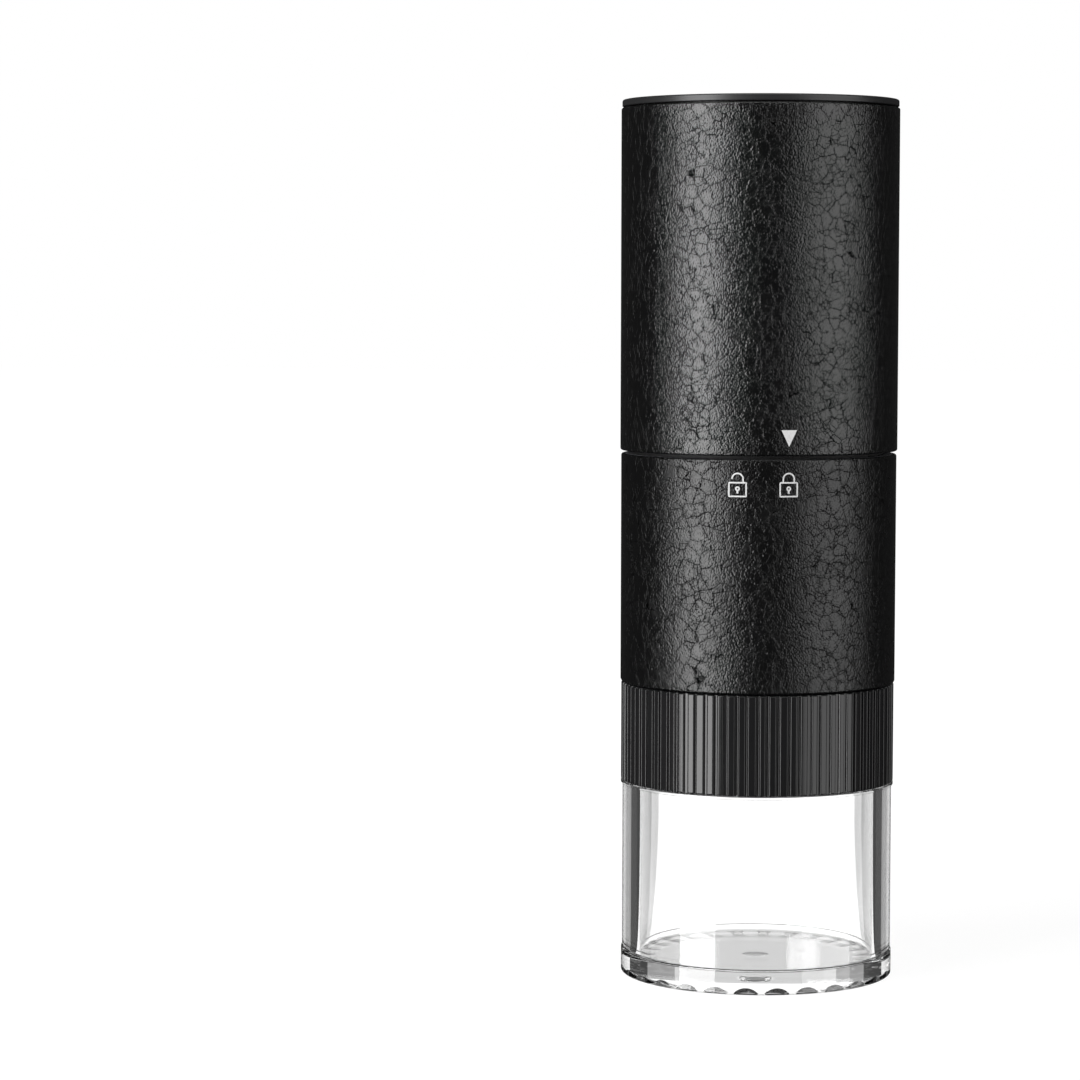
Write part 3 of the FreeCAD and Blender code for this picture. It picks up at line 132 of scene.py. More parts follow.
def turned(name: str, outline: Sequence[Point], segments: Segments, closed: bool = True) -> bpy.types.Object:
    """Make a turned form by extruding a circle along an outline.

    Args:
        name: the piece's name.
        outline: (radius, height) points in millimetres.
        segments: how finely the form is divided.
        closed: whether the outline returns to its first point.

    Returns:
        The turned object.
    """
    pole = 0.004
    points = [(max(radius, pole), height) for radius, height in outline]
    if closed:
        points.append(points[0])
    put_down()
    radius, height = points[0]
    bpy.ops.mesh.primitive_circle_add(vertices=segments.value, radius=radius * MM, location=(0, 0, height * MM))
    piece = named(name)
    bpy.ops.object.mode_set(mode="EDIT")
    bpy.ops.mesh.select_all(action="SELECT")
    for next_radius, next_height in points[1:]:
        bpy.ops.mesh.extrude_region()
        ratio = next_radius / radius
        bpy.ops.transform.resize(value=(ratio, ratio, 1), center_override=(0, 0, 0))
        bpy.ops.transform.translate(value=(0, 0, (next_height - height) * MM))
        radius, height = next_radius, next_height
    bpy.ops.mesh.select_all(action="SELECT")
    bpy.ops.mesh.remove_doubles(threshold=2 * pole * MM)
    bpy.ops.mesh.select_all(action="SELECT")
    bpy.ops.mesh.normals_make_consistent(inside=False)
    bpy.ops.object.mode_set(mode="OBJECT")
    return piece


def rounded(corner: Point, before: Point, after: Point, radius: float, steps: int = 4) -> list[Point]:
    """Round an outline's corner.

    Args:
        corner: the corner itself.
        before: the point before it.
        after: the point after it.
        radius: the radius of the round.
        steps: how many sides the round has.

    Returns:
        The points that replace the corner.
    """
    here = Vector(corner)
    back = (Vector(before) - here).normalized()
    ahead = (Vector(after) - here).normalized()
    half = back.angle(ahead) / 2
    start = here + back * radius / math.tan(half)
    finish = here + ahead * radius / math.tan(half)
    middle = here + (back + ahead).normalized() * radius / math.sin(half)
    first, last = start - middle, finish - middle
    sweep = first.angle(last)
    points = []
    for step in range(steps + 1):
        share = step / steps
        arm = (first * math.sin((1 - share) * sweep) + last * math.sin(share * sweep)) / math.sin(sweep)
        points.append(tuple(middle + arm))
    return points


def eased(outline: Sequence[Point], rounds: dict[int, float], steps: int = 4) -> list[Point]:
    """Round some corners of a closed outline.

    Args:
        outline: the outline's points.
        rounds: the radius of each rounded corner by its place in the outline.
        steps: how many sides each round has.

    Returns:
        The outline with its rounds.
    """
    points: list[Point] = []
    for index, corner in enumerate(outline):
        if index in rounds:
            before = outline[index - 1]
            after = outline[(index + 1) % len(outline)]
            points += rounded(corner, before, after, rounds[index], steps)
        else:
            points.append(corner)
    return points


def modified(piece: bpy.types.Object, kind: str, **settings: object) -> None:
    """Add a modifier to a piece and apply it.

    Args:
        piece: the piece.
        kind: the modifier's type.
        settings: the modifier's settings.
    """
    take(piece)
    modifier = piece.modifiers.new(kind, kind)
    for name, value in settings.items():
        setattr(modifier, name, value)
    bpy.ops.object.modifier_apply(modifier=modifier.name)


def carved(piece: bpy.types.Object, cutter: bpy.types.Object) -> None:
    """Cut one object out of a piece and remove it.

    Args:
        piece: the piece that is cut.
        cutter: the object that is cut away.
    """
    modified(piece, "BOOLEAN", operation="DIFFERENCE", object=cutter, solver="EXACT", use_self=True)
    bpy.data.objects.remove(cutter)


def softened(piece: bpy.types.Object, width: float, segments: int = 2, angle: float = 35) -> None:
    """Round the sharp edges of a piece with a bevel.

    Args:
        piece: the piece.
        width: the bevel's width in millimetres.
        segments: how many faces the bevel has across it.
        angle: the least angle of an edge that is rounded, in degrees.
    """
    modified(
        piece, "BEVEL", width=width * MM, segments=segments, limit_method="ANGLE",
        angle_limit=math.radians(angle), use_clamp_overlap=True,
    )


def joined(name: str, pieces: Sequence[bpy.types.Object]) -> bpy.types.Object:
    """Join several objects into one.

    Args:
        name: the name of the result.
        pieces: the objects.

    Returns:
        The joined object.
    """
    put_down()
    for piece in pieces:
        piece.select_set(True)
    bpy.context.view_layer.objects.active = pieces[0]
    bpy.ops.object.join()
    return named(name)


def ring_of(piece: bpy.types.Object, count: int) -> bpy.types.Object:
    """Repeat a piece evenly about Z and join the copies.

    Args:
        piece: the first copy, in its place.
        count: how many copies there are in all.

    Returns:
        The joined ring of copies.
    """
    copies = [piece]
    for number in range(1, count):
        take(piece)
        bpy.ops.object.duplicate(linked=False)
        bpy.ops.transform.rotate(
            value=2 * math.pi * number / count, orient_axis="Z", center_override=(0, 0, 0),
        )
        copies.append(bpy.context.object)
    return joined(piece.name, copies)


def settled(piece: bpy.types.Object, smooth_angle: float = 40) -> bpy.types.Object:
    """Put a piece's place into its mesh and shade it.

    Args:
        piece: the piece.
        smooth_angle: the greatest angle that is shaded smooth, in degrees.

    Returns:
        The piece.
    """
    take(piece)
    bpy.ops.object.transform_apply(location=True, rotation=True, scale=True)
    bpy.ops.object.shade_smooth_by_angle(angle=math.radians(smooth_angle))
    modified(piece, "WEIGHTED_NORMAL", keep_sharp=True)
    return piece


def dress(piece: bpy.types.Object, finish: "Finish") -> None:
    """Give a piece or a CAD node one finish all over.

    Args:
        piece: the object.
        finish: the finish.
    """
    piece.data.materials.clear()
    piece.data.materials.append(finish.material())


def seat(piece: bpy.types.Object, body: str, slot: str, finish: "Finish", *nodes: str) -> None:
    """Fix a finished piece to its CAD body.

    Args:
        piece: the piece.
        body: the body that it moves with.
        slot: the record's material slot; not used.
        finish: its finish.
        nodes: the CAD nodes that it stands for.
    """
    dress(piece, finish)
    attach(piece, body)
    if nodes:
        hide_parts(*nodes)
    LOG.info("%s rides on %s, stands for %s", piece.name, body, ", ".join(nodes) or "nothing")


# Finishes: shared effects

class Bench:
    """A node tree being wired, either a material's or an effect's group."""

    def __init__(self, tree: bpy.types.NodeTree) -> None:
        """Start on an empty tree.

        Args:
            tree: the node tree.
        """
        self.tree = tree
        self.column = 0

    def add(self, kind: str, inputs: Optional[dict] = None, **settings: object) -> bpy.types.Node:
        """Add a node.

        Args:
            kind: the node's type.
            inputs: a value or another node's output for each named or numbered input.
            settings: the node's own settings.

        Returns:
            The node.
        """
        node = self.tree.nodes.new(kind)
        node.location = (self.column * 190, 0)
        self.column += 1
        for name, value in settings.items():
            setattr(node, name, value)
        for name, value in (inputs or {}).items():
            if isinstance(value, bpy.types.NodeSocket):
                self.tree.links.new(value, node.inputs[name])
            else:
                node.inputs[name].default_value = value
        return node

    def sum(self, operation: str, first: object, second: object = 0.0) -> bpy.types.NodeSocket:
        """Work out one number from two.

        Args:
            operation: the operation.
            first: the first number or output.
            second: the second number or output.

        Returns:
            The result's output.
        """
        return self.add("ShaderNodeMath", {0: first, 1: second}, operation=operation).outputs[0]

    def ramp(self, value: bpy.types.NodeSocket, low: float, high: float, start: float, end: float) -> bpy.types.NodeSocket:
        """Map a number smoothly from one range to another.

        Args:
            value: the number's output.
            low: where the change starts.
            high: where the change ends.
            start: the result at low.
            end: the result at high.

        Returns:
            The result's output.
        """
        node = self.add(
            "ShaderNodeMapRange", {"Value": value, "From Min": low, "From Max": high, "To Min": start, "To Max": end},
            interpolation_type="SMOOTHSTEP",
        )
        return node.outputs["Result"]

    def blend(self, share: bpy.types.NodeSocket, first: Colour, second: Colour) -> bpy.types.NodeSocket:
        """Mix two colours.

        Args:
            share: the share of the second colour.
            first: the colour at 0.
            second: the colour at 1.

        Returns:
            The mixed colour's output.
        """
        node = self.add("ShaderNodeMix", {"Factor": share}, data_type="RGBA")
        node.inputs[6].default_value = (*first, 1)
        node.inputs[7].default_value = (*second, 1)
        return node.outputs[2]

    def object_place(self) -> bpy.types.NodeSocket:
        """Give the place in the object's own space."""
        return self.add("ShaderNodeTexCoord").outputs["Object"]


def effect(name: str, inputs: dict[str, float], outputs: Sequence[str]) -> tuple[Bench, dict, dict]:
    """Start a shared effect's node group, whose outputs are numbers.

    Args:
        name: the effect's name.
        inputs: its number inputs and their usual values; it also takes a Place.
        outputs: its outputs.

    Returns:
        The bench, the outputs of the group's input node, and the inputs of its output node.
    """
    group = bpy.data.node_groups.new(name, "ShaderNodeTree")
    group.interface.new_socket("Place", in_out="INPUT", socket_type=Socket.PLACE.value)
    for label, value in inputs.items():
        socket = group.interface.new_socket(label, in_out="INPUT", socket_type=Socket.NUMBER.value)
        socket.default_value = value
    for label in outputs:
        group.interface.new_socket(label, in_out="OUTPUT", socket_type=Socket.NUMBER.value)
    bench = Bench(group)
    given = bench.add("NodeGroupInput").outputs
    wanted = bench.add("NodeGroupOutput").inputs
    return bench, given, wanted


def crackle_effect() -> bpy.types.NodeTree:
    """Crackled leather: cells split by thin creases, with rings and fine grain between them.

    Returns:
        The group, with outputs Height, Crease and Change.
    """
    bench, given, wanted = effect(
        "crackled_leather",
        {"Cell": 300.0, "Wander": 0.0006, "Cut": 0.35, "Crown": 0.12, "Ring": 0.01, "Grain": 0.6},
        ("Height", "Crease", "Change"),
    )
    place = given["Place"]

    def noise(scale: float, detail: float) -> bpy.types.Node:
        """Give noise of one scale."""
        return bench.add(
            "ShaderNodeTexNoise", {"Vector": place, "Scale": scale, "Detail": detail, "Roughness": 0.6},
        )

    def shifted(scale: float, reach: object) -> bpy.types.NodeSocket:
        """Give the place, shifted by noise of one scale."""
        centred = bench.add(
            "ShaderNodeVectorMath", {0: noise(scale, 5.0).outputs["Color"], 1: (0.5, 0.5, 0.5)}, operation="SUBTRACT",
        )
        bent = bench.add("ShaderNodeVectorMath", {0: centred.outputs[0], "Scale": reach}, operation="SCALE")
        return bench.add("ShaderNodeVectorMath", {0: place, 1: bent.outputs[0]}, operation="ADD").outputs[0]

    def edges(vector: bpy.types.NodeSocket, scale: object) -> bpy.types.NodeSocket:
        """Give the distance to the nearest crease of one size of cell."""
        node = bench.add("ShaderNodeTexVoronoi", {"Vector": vector, "Scale": scale}, feature="DISTANCE_TO_EDGE")
        return node.outputs["Distance"]

    wandering = shifted(560.0, given["Wander"])
    large = edges(wandering, given["Cell"])
    medium = edges(shifted(760.0, given["Wander"]), bench.sum("MULTIPLY", given["Cell"], 1.75))
    fade = noise(210.0, 2.0).outputs["Fac"]
    patch = noise(150.0, 2.0).outputs["Fac"]
    shaded_crease = bench.sum("MULTIPLY", bench.ramp(large, 0.002, 0.026, 1.0, 0.0), bench.ramp(fade, 0.36, 0.5, 0.0, 1.0))
    branch = bench.sum("MULTIPLY", bench.ramp(medium, 0.002, 0.036, 0.8, 0.0), bench.ramp(patch, 0.47, 0.56, 0.0, 1.0))
    both = bench.sum("MAXIMUM", shaded_crease, branch)
    wave = bench.sum("ADD", bench.sum("MULTIPLY", large, 48.0), bench.sum("MULTIPLY", patch, 20.0))
    rings = bench.sum("MULTIPLY", bench.sum("SINE", wave), given["Ring"])
    beads = bench.add("ShaderNodeTexVoronoi", {"Vector": place, "Scale": 2200.0}, feature="F1").outputs["Distance"]
    grain = bench.sum("MULTIPLY", bench.sum("POWER", beads, 2.0), given["Grain"])
    gathered = bench.sum("MULTIPLY", grain, bench.ramp(large, 0.02, 0.3, -1.3, -0.8))
    crown = bench.sum("MULTIPLY", bench.ramp(large, 0.0, 0.14, 0.0, 1.0), given["Crown"])
    height = bench.sum("SUBTRACT", crown, bench.sum("MULTIPLY", both, given["Cut"]))
    height = bench.sum("ADD", height, bench.sum("ADD", rings, gathered))
    for label, value in (("Height", height), ("Crease", both), ("Change", fade)):
        bench.tree.links.new(value, wanted[label])
    return bench.tree


def pebble_effect() -> bpy.types.NodeTree:
    """Fine moulded texture with a slow change over the surface.

    Returns:
        The group, with outputs Height and Change.
    """
    bench, given, wanted = effect("moulded_pebble", {"Grain": 3200.0, "Patch": 60.0}, ("Height", "Change"))
    grain = bench.add("ShaderNodeTexVoronoi", {"Vector": given["Place"], "Scale": given["Grain"]}, feature="SMOOTH_F1")
    patch = bench.add("ShaderNodeTexNoise", {"Vector": given["Place"], "Scale": given["Patch"], "Detail": 4.0})
    bench.tree.links.new(grain.outputs["Distance"], wanted["Height"])
    bench.tree.links.new(patch.outputs["Fac"], wanted["Change"])
    return bench.tree


def gate_effect() -> bpy.types.NodeTree:
    """The mark that a moulding's gate leaves in the middle of its underside.

    Returns:
        The group, with output Spot.
    """
    bench, given, wanted = effect("gate_mark", {"Radius": 0.0027, "Height": 0.002}, ("Spot",))
    apart = bench.add("ShaderNodeSeparateXYZ", {0: given["Place"]})
    radius = bench.sum("SQRT", bench.sum(
        "ADD", bench.sum("POWER", apart.outputs[0], 2.0), bench.sum("POWER", apart.outputs[1], 2.0),
    ))
    within = bench.sum("LESS_THAN", radius, given["Radius"])
    below = bench.sum("LESS_THAN", apart.outputs[2], given["Height"])
    bench.tree.links.new(bench.sum("MULTIPLY", within, below), wanted["Spot"])
    return bench.tree


def brushed_effect() -> bpy.types.NodeTree:
    """Machining lines, long one way and fine across it.

    Returns:
        The group, with outputs Height and Streak.
    """
    bench, given, wanted = effect("machining_lines", {"Across": 2400.0, "Along": 60.0}, ("Height", "Streak"))
    apart = bench.add("ShaderNodeSeparateXYZ", {0: given["Place"]})
    radius = bench.sum("SQRT", bench.sum(
        "ADD", bench.sum("POWER", apart.outputs[0], 2.0), bench.sum("POWER", apart.outputs[1], 2.0),
    ))
    angle = bench.sum("ARCTAN2", apart.outputs[1], apart.outputs[0])
    joined_place = bench.add("ShaderNodeCombineXYZ", {
        0: bench.sum("MULTIPLY", angle, 0.01),
        1: bench.sum("MULTIPLY", radius, given["Across"]),
        2: bench.sum("MULTIPLY", apart.outputs[2], given["Across"]),
    })
    lines = bench.add("ShaderNodeTexNoise", {"Vector": joined_place.outputs[0], "Scale": 1.0, "Detail": 3.0})
    patch = bench.add("ShaderNodeTexNoise", {"Vector": given["Place"], "Scale": given["Along"], "Detail": 3.0})
    bench.tree.links.new(lines.outputs["Fac"], wanted["Height"])
    bench.tree.links.new(bench.sum("MULTIPLY", lines.outputs["Fac"], patch.outputs["Fac"]), wanted["Streak"])
    return bench.tree


class Effects:
    """The shared effects, each built once and placed where it is used."""

    built: dict[str, bpy.types.NodeTree] = {}

    @classmethod
    def place(cls, bench: Bench, maker: Callable[[], bpy.types.NodeTree], **values: float) -> bpy.types.Node:
        """Place an effect in a material.

        Args:
            bench: the material's bench.
            maker: the function that builds the effect's group.
            values: the effect's inputs.

        Returns:
            The group node.
        """
        if maker.__name__ not in cls.built:
            cls.built[maker.__name__] = maker()
        node = bench.add("ShaderNodeGroup")
        node.node_tree = cls.built[maker.__name__]
        bench.tree.links.new(bench.object_place(), node.inputs["Place"])
        for name, value in values.items():
            node.inputs[name].default_value = value
        return node


# Finishes

@dataclass(frozen=True)
class Finish:
    """What every finish has: a name, a colour and a roughness."""

    name: str
    colour: Colour
    roughness: float

    def material(self) -> bpy.types.Material:
        """Give the finish's material, built at its first use."""
        ready = bpy.data.materials.get(self.name)
        if ready:
            return ready
        material = bpy.data.materials.new(self.name)
        material.use_nodes = True
        material.node_tree.nodes.clear()
        bench = Bench(material.node_tree)
        output = bench.add("ShaderNodeOutputMaterial")
        shader = bench.add("ShaderNodeBsdfPrincipled", {"Base Color": (*self.colour, 1), "Roughness": self.roughness})
        bench.tree.links.new(shader.outputs[0], output.inputs["Surface"])
        self.wire(bench, shader)
        return material

    def wire(self, bench: Bench, shader: bpy.types.Node) -> None:
        """Wire the finish's own nodes to its shader.

        Args:
            bench: the material's bench.
            shader: the Principled shader.
        """
        raise NotImplementedError

    def relief(self, bench: Bench, shader: bpy.types.Node, height: bpy.types.NodeSocket, depth: float) -> None:
        """Raise the surface by a height.

        Args:
            bench: the material's bench.
            shader: the Principled shader.
            height: the height's output.
            depth: how deep a height of 1 is, in millimetres.
        """
        bump = bench.add("ShaderNodeBump", {"Height": height, "Distance": depth * MM, "Strength": 1.0})
        bench.tree.links.new(bump.outputs[0], shader.inputs["Normal"])


@dataclass(frozen=True)
class Leather(Finish):
    """Crackled leather whose creases carry painted shade: a darker colour and metallic there stand in for occlusion."""

    # The darker crease colour is painted shade, standing in for occlusion in the creases.
    shaded_crease: Colour = (0.0008, 0.0008, 0.0008)
    cell: float = 300.0
    wander: float = 0.0006
    depth: float = 0.14
    bend: float = 1.55

    def wire(self, bench: Bench, shader: bpy.types.Node) -> None:
        """Wire creases, rings and grain, with painted shade in the creases from a darker colour and metallic."""
        shader.inputs["IOR"].default_value = self.bend
        grain = Effects.place(bench, crackle_effect, Cell=self.cell, Wander=self.wander)
        # Painted shade: the colour darkens to the crease colour along the creases.
        colour = bench.blend(grain.outputs["Crease"], self.colour, self.shaded_crease)
        bench.tree.links.new(colour, shader.inputs["Base Color"])
        even = bench.ramp(grain.outputs["Change"], 0.3, 0.7, self.roughness - 0.03, self.roughness + 0.03)
        bench.tree.links.new(even, shader.inputs["Roughness"])
        # Metallic on the creases, with their near-black colour, kills their reflection: painted shade for occlusion.
        bench.tree.links.new(grain.outputs["Crease"], shader.inputs["Metallic"])
        self.relief(bench, shader, grain.outputs["Height"], self.depth)


@dataclass(frozen=True)
class Plastic(Finish):
    """Moulded plastic or rubber with a fine texture."""

    grain: float = 3200.0
    depth: float = 0.004
    change: float = 0.08
    bend: float = 1.5

    def wire(self, bench: Bench, shader: bpy.types.Node) -> None:
        """Wire the moulded texture and a slow change of gloss."""
        shader.inputs["IOR"].default_value = self.bend
        pebble = Effects.place(bench, pebble_effect, Grain=self.grain)
        rough = bench.ramp(
            pebble.outputs["Change"], 0.3, 0.7, self.roughness - self.change / 2, self.roughness + self.change / 2,
        )
        bench.tree.links.new(rough, shader.inputs["Roughness"])
        lighter = tuple(min(value * 1.25 + 0.001, 1) for value in self.colour)
        colour = bench.blend(pebble.outputs["Change"], self.colour, lighter)
        bench.tree.links.new(colour, shader.inputs["Base Color"])
        self.relief(bench, shader, pebble.outputs["Height"], self.depth)


@dataclass(frozen=True)
class Metal(Finish):
    """Turned or brushed metal."""

    depth: float = 0.003
    metallic: float = 1.0
    streak: float = 0.12

    def wire(self, bench: Bench, shader: bpy.types.Node) -> None:
        """Wire the machining lines."""
        shader.inputs["Metallic"].default_value = self.metallic
        lines = Effects.place(bench, brushed_effect)
        rough = bench.ramp(
            lines.outputs["Streak"], 0.1, 0.45, self.roughness, min(self.roughness + self.streak, 1),
        )
        bench.tree.links.new(rough, shader.inputs["Roughness"])
        darker = tuple(value * 0.8 for value in self.colour)
        colour = bench.blend(lines.outputs["Height"], self.colour, darker)
        bench.tree.links.new(colour, shader.inputs["Base Color"])
        self.relief(bench, shader, lines.outputs["Height"], self.depth)


@dataclass(frozen=True)
class Clear(Finish):
    """Thick clear plastic, very slightly uneven, with a dull gate mark."""

    bend: float = 1.52
    depth: float = 0.0006
    gate_tone: float = 0.3
    gate_roughness: float = 0.3

    def wire(self, bench: Bench, shader: bpy.types.Node) -> None:
        """Wire the clear plastic's faint waviness and its gate mark."""
        shader.inputs["IOR"].default_value = self.bend
        shader.inputs["Transmission Weight"].default_value = 1.0
        spot = Effects.place(bench, gate_effect).outputs["Spot"]
        dull = bench.blend(spot, self.colour, (self.gate_tone, self.gate_tone, self.gate_tone))
        bench.tree.links.new(dull, shader.inputs["Base Color"])
        rough = bench.ramp(spot, 0.0, 1.0, self.roughness, self.gate_roughness)
        bench.tree.links.new(rough, shader.inputs["Roughness"])
        pebble = Effects.place(bench, pebble_effect, Grain=240.0, Patch=40.0)
        self.relief(bench, shader, pebble.outputs["Height"], self.depth)


@dataclass(frozen=True)
class Ink(Finish):
    """Printed ink that follows the leather's grain."""

    cell: float = 300.0
    wander: float = 0.0012
    depth: float = 0.05

    def wire(self, bench: Bench, shader: bpy.types.Node) -> None:
        """Wire the ink over the leather's creases, where it is darker."""
        grain = Effects.place(bench, crackle_effect, Cell=self.cell, Wander=self.wander)
        # The print is darker in the leather's creases.
        crease_darkened_print = tuple(value * 0.6 for value in self.colour)
        colour = bench.blend(bench.sum("MULTIPLY", grain.outputs["Crease"], 0.4), self.colour, crease_darkened_print)
        bench.tree.links.new(colour, shader.inputs["Base Color"])
        self.relief(bench, shader, grain.outputs["Height"], self.depth)


class Stock(Enum):
    """The finishes of this grinder."""

    CLEAR_PLASTIC = Clear("clear_cup_plastic", (1.0, 1.0, 1.0), 0.012)
    HEAD_LEATHER = Leather("head_leather_grain", (0.002, 0.002, 0.0021), 0.22, cell=350.0)
    HOPPER_LEATHER = Leather("hopper_leather_grain", (0.002, 0.002, 0.0021), 0.25, cell=310.0, bend=1.48)
    SATIN_BLACK = Plastic("satin_black_plastic", (0.007, 0.007, 0.0074), 0.16, depth=0.0006, change=0.03, bend=1.47)
    CAP_BLACK = Metal("cap_dark_metal", (0.02, 0.02, 0.021), 0.34, metallic=0.2)
    INNER_PLASTIC = Plastic("inner_plastic", (0.035, 0.035, 0.037), 0.5)
    BUTTON_BLACK = Plastic("button_gloss_plastic", (0.012, 0.012, 0.013), 0.2, depth=0.0008, change=0.05)
    LIGHT_GUIDE = Plastic("milky_light_guide", (0.72, 0.74, 0.76), 0.3, depth=0.001)
    STEEL = Metal("bright_steel", (0.56, 0.56, 0.57), 0.26)
    BURR_STEEL = Metal("ground_burr_steel", (0.42, 0.42, 0.43), 0.34)
    SILICONE = Plastic("black_silicone", (0.02, 0.02, 0.02), 0.62, depth=0.006)
    GEAR_PLASTIC = Plastic("gear_plastic", (0.72, 0.68, 0.58), 0.42)
    CELL_WRAP = Plastic("cell_sleeve", (0.02, 0.12, 0.3), 0.28, depth=0.001)
    BOARD_GREEN = Plastic("circuit_board", (0.01, 0.09, 0.035), 0.32, depth=0.002)
    BRONZE = Metal("sintered_bronze", (0.42, 0.27, 0.12), 0.42)
    PRINT_WHITE = Ink("white_print", (0.6, 0.6, 0.6), 0.5)


SLOT_STOCK = {
    "clear_plastic": Stock.CLEAR_PLASTIC,
    "black_leather": Stock.HEAD_LEATHER,
    "satin_black": Stock.SATIN_BLACK,
    "black_metal": Stock.CAP_BLACK,
    "inner_plastic": Stock.INNER_PLASTIC,
    "button_black": Stock.BUTTON_BLACK,
    "light_guide": Stock.LIGHT_GUIDE,
    "steel": Stock.STEEL,
    "burr_steel": Stock.BURR_STEEL,
    "silicone": Stock.SILICONE,
    "gear_plastic": Stock.GEAR_PLASTIC,
    "cell_wrap": Stock.CELL_WRAP,
    "board_green": Stock.BOARD_GREEN,
    "bronze": Stock.BRONZE,
}


# Clear cup

@dataclass
class CupMaker:
    """The thick clear grounds cup with its fluted underside."""

    wall: float = 32.2
    bore: float = 28.0
    base: float = 32.45
    lip: float = 32.6
    neck: float = 30.2
    height: float = 46.3
    lip_height: float = 0.6
    neck_top: float = 55.5
    floor: float = 4.65
    band: float = 5.7
    flare: float = 0.25
    flute_count: int = 27
    flute_radius: float = 3.8
    flute_sink: float = 2.2
    flute_fade: float = 25.0
    flute_lip: float = 0.9
    flute_turn: float = -0.667
    dimple_radius: float = 2.6
    dimple_depth: float = 0.6

    def build(self) -> None:
        """Build the cup and seat it."""
        cup = self.blank()
        carved(cup, self.flutes())
        carved(cup, self.dimple())
        softened(cup, 0.12, 2, 40)
        seat(settled(cup, 30), "cup", "clear_plastic", Stock.CLEAR_PLASTIC.value, "grounds_cup")

    def blank(self) -> bpy.types.Object:
        """Turn the cup before its flutes are cut.

        Returns:
            The turned cup.
        """
        under = [(radius, 0) for radius in (0, 3.4, 8, 14, 20, 24, 27, 30)]
        outline = [
            (self.base, 0), (self.base, self.band), (self.wall, self.band + self.flare),
            (self.wall, self.height - self.lip_height), (self.lip, self.height - self.lip_height),
            (self.lip, self.height), (self.neck, self.height), (self.neck, self.neck_top),
            (self.bore, self.neck_top), (self.bore, self.floor), (12, self.floor), (0, self.floor),
        ]
        rounds = {len(under): 0.5, len(under) + 1: 0.3, len(under) + 4: 0.15, len(under) + 5: 0.15, len(under) + 9: 1.2}
        return turned("clear_cup", eased(under + outline, rounds, 6), Segments.FINE, closed=False)

    def flutes(self) -> bpy.types.Object:
        """Make the ring of round bars that cut the flutes.

        Returns:
            The joined bars.
        """
        reach = self.base - self.flute_lip - self.flute_fade
        rise = math.atan2(self.flute_radius - self.flute_sink, reach)
        length = reach / math.cos(rise)
        middle = Vector((self.flute_fade + reach / 2, 0, -(self.flute_radius + self.flute_sink) / 2))
        put_down()
        bpy.ops.mesh.primitive_cylinder_add(
            vertices=Segments.SMALL.value, radius=self.flute_radius * MM, depth=length * MM,
            location=middle * MM, rotation=(0, math.pi / 2 - rise, 0),
        )
        bar = named("flute_bar")
        take(bar)
        bpy.ops.transform.rotate(
            value=math.radians(-self.flute_turn), orient_axis="Z", center_override=(0, 0, 0),
        )
        return ring_of(bar, self.flute_count)

    def dimple(self) -> bpy.types.Object:
        """Make the cutter of the gate mark's recess under the floor.

        Returns:
            The cutter.
        """
        outline = [
            (0, -1), (self.dimple_radius, -1), (self.dimple_radius, self.dimple_depth), (0, self.dimple_depth),
        ]
        return turned("dimple", eased(outline, {2: 0.4}), Segments.SMALL, closed=False)


# Setting ring

@dataclass
class SettingRingMaker:
    """The ribbed ring that is turned to set the grind."""

    outer: float = 32.6
    groove: float = 32.1
    skirt_bore: float = 30.5
    web_bore: float = 28.0
    low: float = 46.5
    web: float = 58.2
    high: float = 70.0
    edge: float = 0.3
    ribs: int = 82
    steps: int = 9
    floor_steps: int = 2
    turn: float = 1.9

    def build(self) -> None:
        """Build the ring and seat it."""
        ring = self.blank()
        self.cut_grooves(ring)
        softened(ring, 0.12, 3, 25)
        take(ring)
        bpy.ops.transform.rotate(value=math.radians(-self.turn), orient_axis="Z", center_override=(0, 0, 0))
        seat(settled(ring, 30), "adjuster", "satin_black", Stock.SATIN_BLACK.value, "grind_ring")

    def blank(self) -> bpy.types.Object:
        """Turn the ring, with nine sides to each rib.

        Returns:
            The ring without its grooves.
        """
        outline = [
            (self.skirt_bore, self.low), (self.outer - self.edge, self.low), (self.outer, self.low + self.edge),
            (self.outer, self.high - self.edge), (self.outer - self.edge, self.high),
            (self.web_bore, self.high), (self.web_bore, self.web), (self.skirt_bore, self.web),
        ]
        points = outline + outline[:1]
        put_down()
        bpy.ops.mesh.primitive_circle_add(
            vertices=self.ribs * self.steps, radius=points[0][0] * MM, location=(0, 0, points[0][1] * MM),
        )
        ring = named("setting_ring")
        bpy.ops.object.mode_set(mode="EDIT")
        bpy.ops.mesh.select_all(action="SELECT")
        for (radius, height), (next_radius, next_height) in zip(points, points[1:]):
            bpy.ops.mesh.extrude_region()
            ratio = next_radius / radius
            bpy.ops.transform.resize(value=(ratio, ratio, 1), center_override=(0, 0, 0))
            bpy.ops.transform.translate(value=(0, 0, (next_height - height) * MM))
        bpy.ops.mesh.select_all(action="SELECT")
        bpy.ops.mesh.remove_doubles(threshold=0.01 * MM)
        bpy.ops.mesh.select_all(action="SELECT")
        bpy.ops.mesh.normals_make_consistent(inside=False)
        bpy.ops.object.mode_set(mode="OBJECT")
        return ring

    def cut_grooves(self, ring: bpy.types.Object) -> None:
        """Press the grooves between the ribs inwards.

        Args:
            ring: the turned ring.
        """
        pitch = 2 * math.pi / self.ribs
        step = pitch / self.steps
        for radius in (self.outer, self.outer - self.edge):

            def on_floor(place: Vector, radius: float = radius) -> bool:
                """Tell whether a vertex is on a groove's floor."""
                if abs(math.hypot(place.x, place.y) - radius) > 0.02:
                    return False
                angle = (math.atan2(place.y, place.x) + step / 2) % pitch
                return angle < (self.floor_steps + 1) * step

            take(ring)
            bpy.ops.object.mode_set(mode="EDIT")
            pick(ring, on_floor)
            ratio = self.groove / radius
            bpy.ops.transform.resize(value=(ratio, ratio, 1), center_override=(0, 0, 0))
            bpy.ops.object.mode_set(mode="OBJECT")


# Leather sleeves

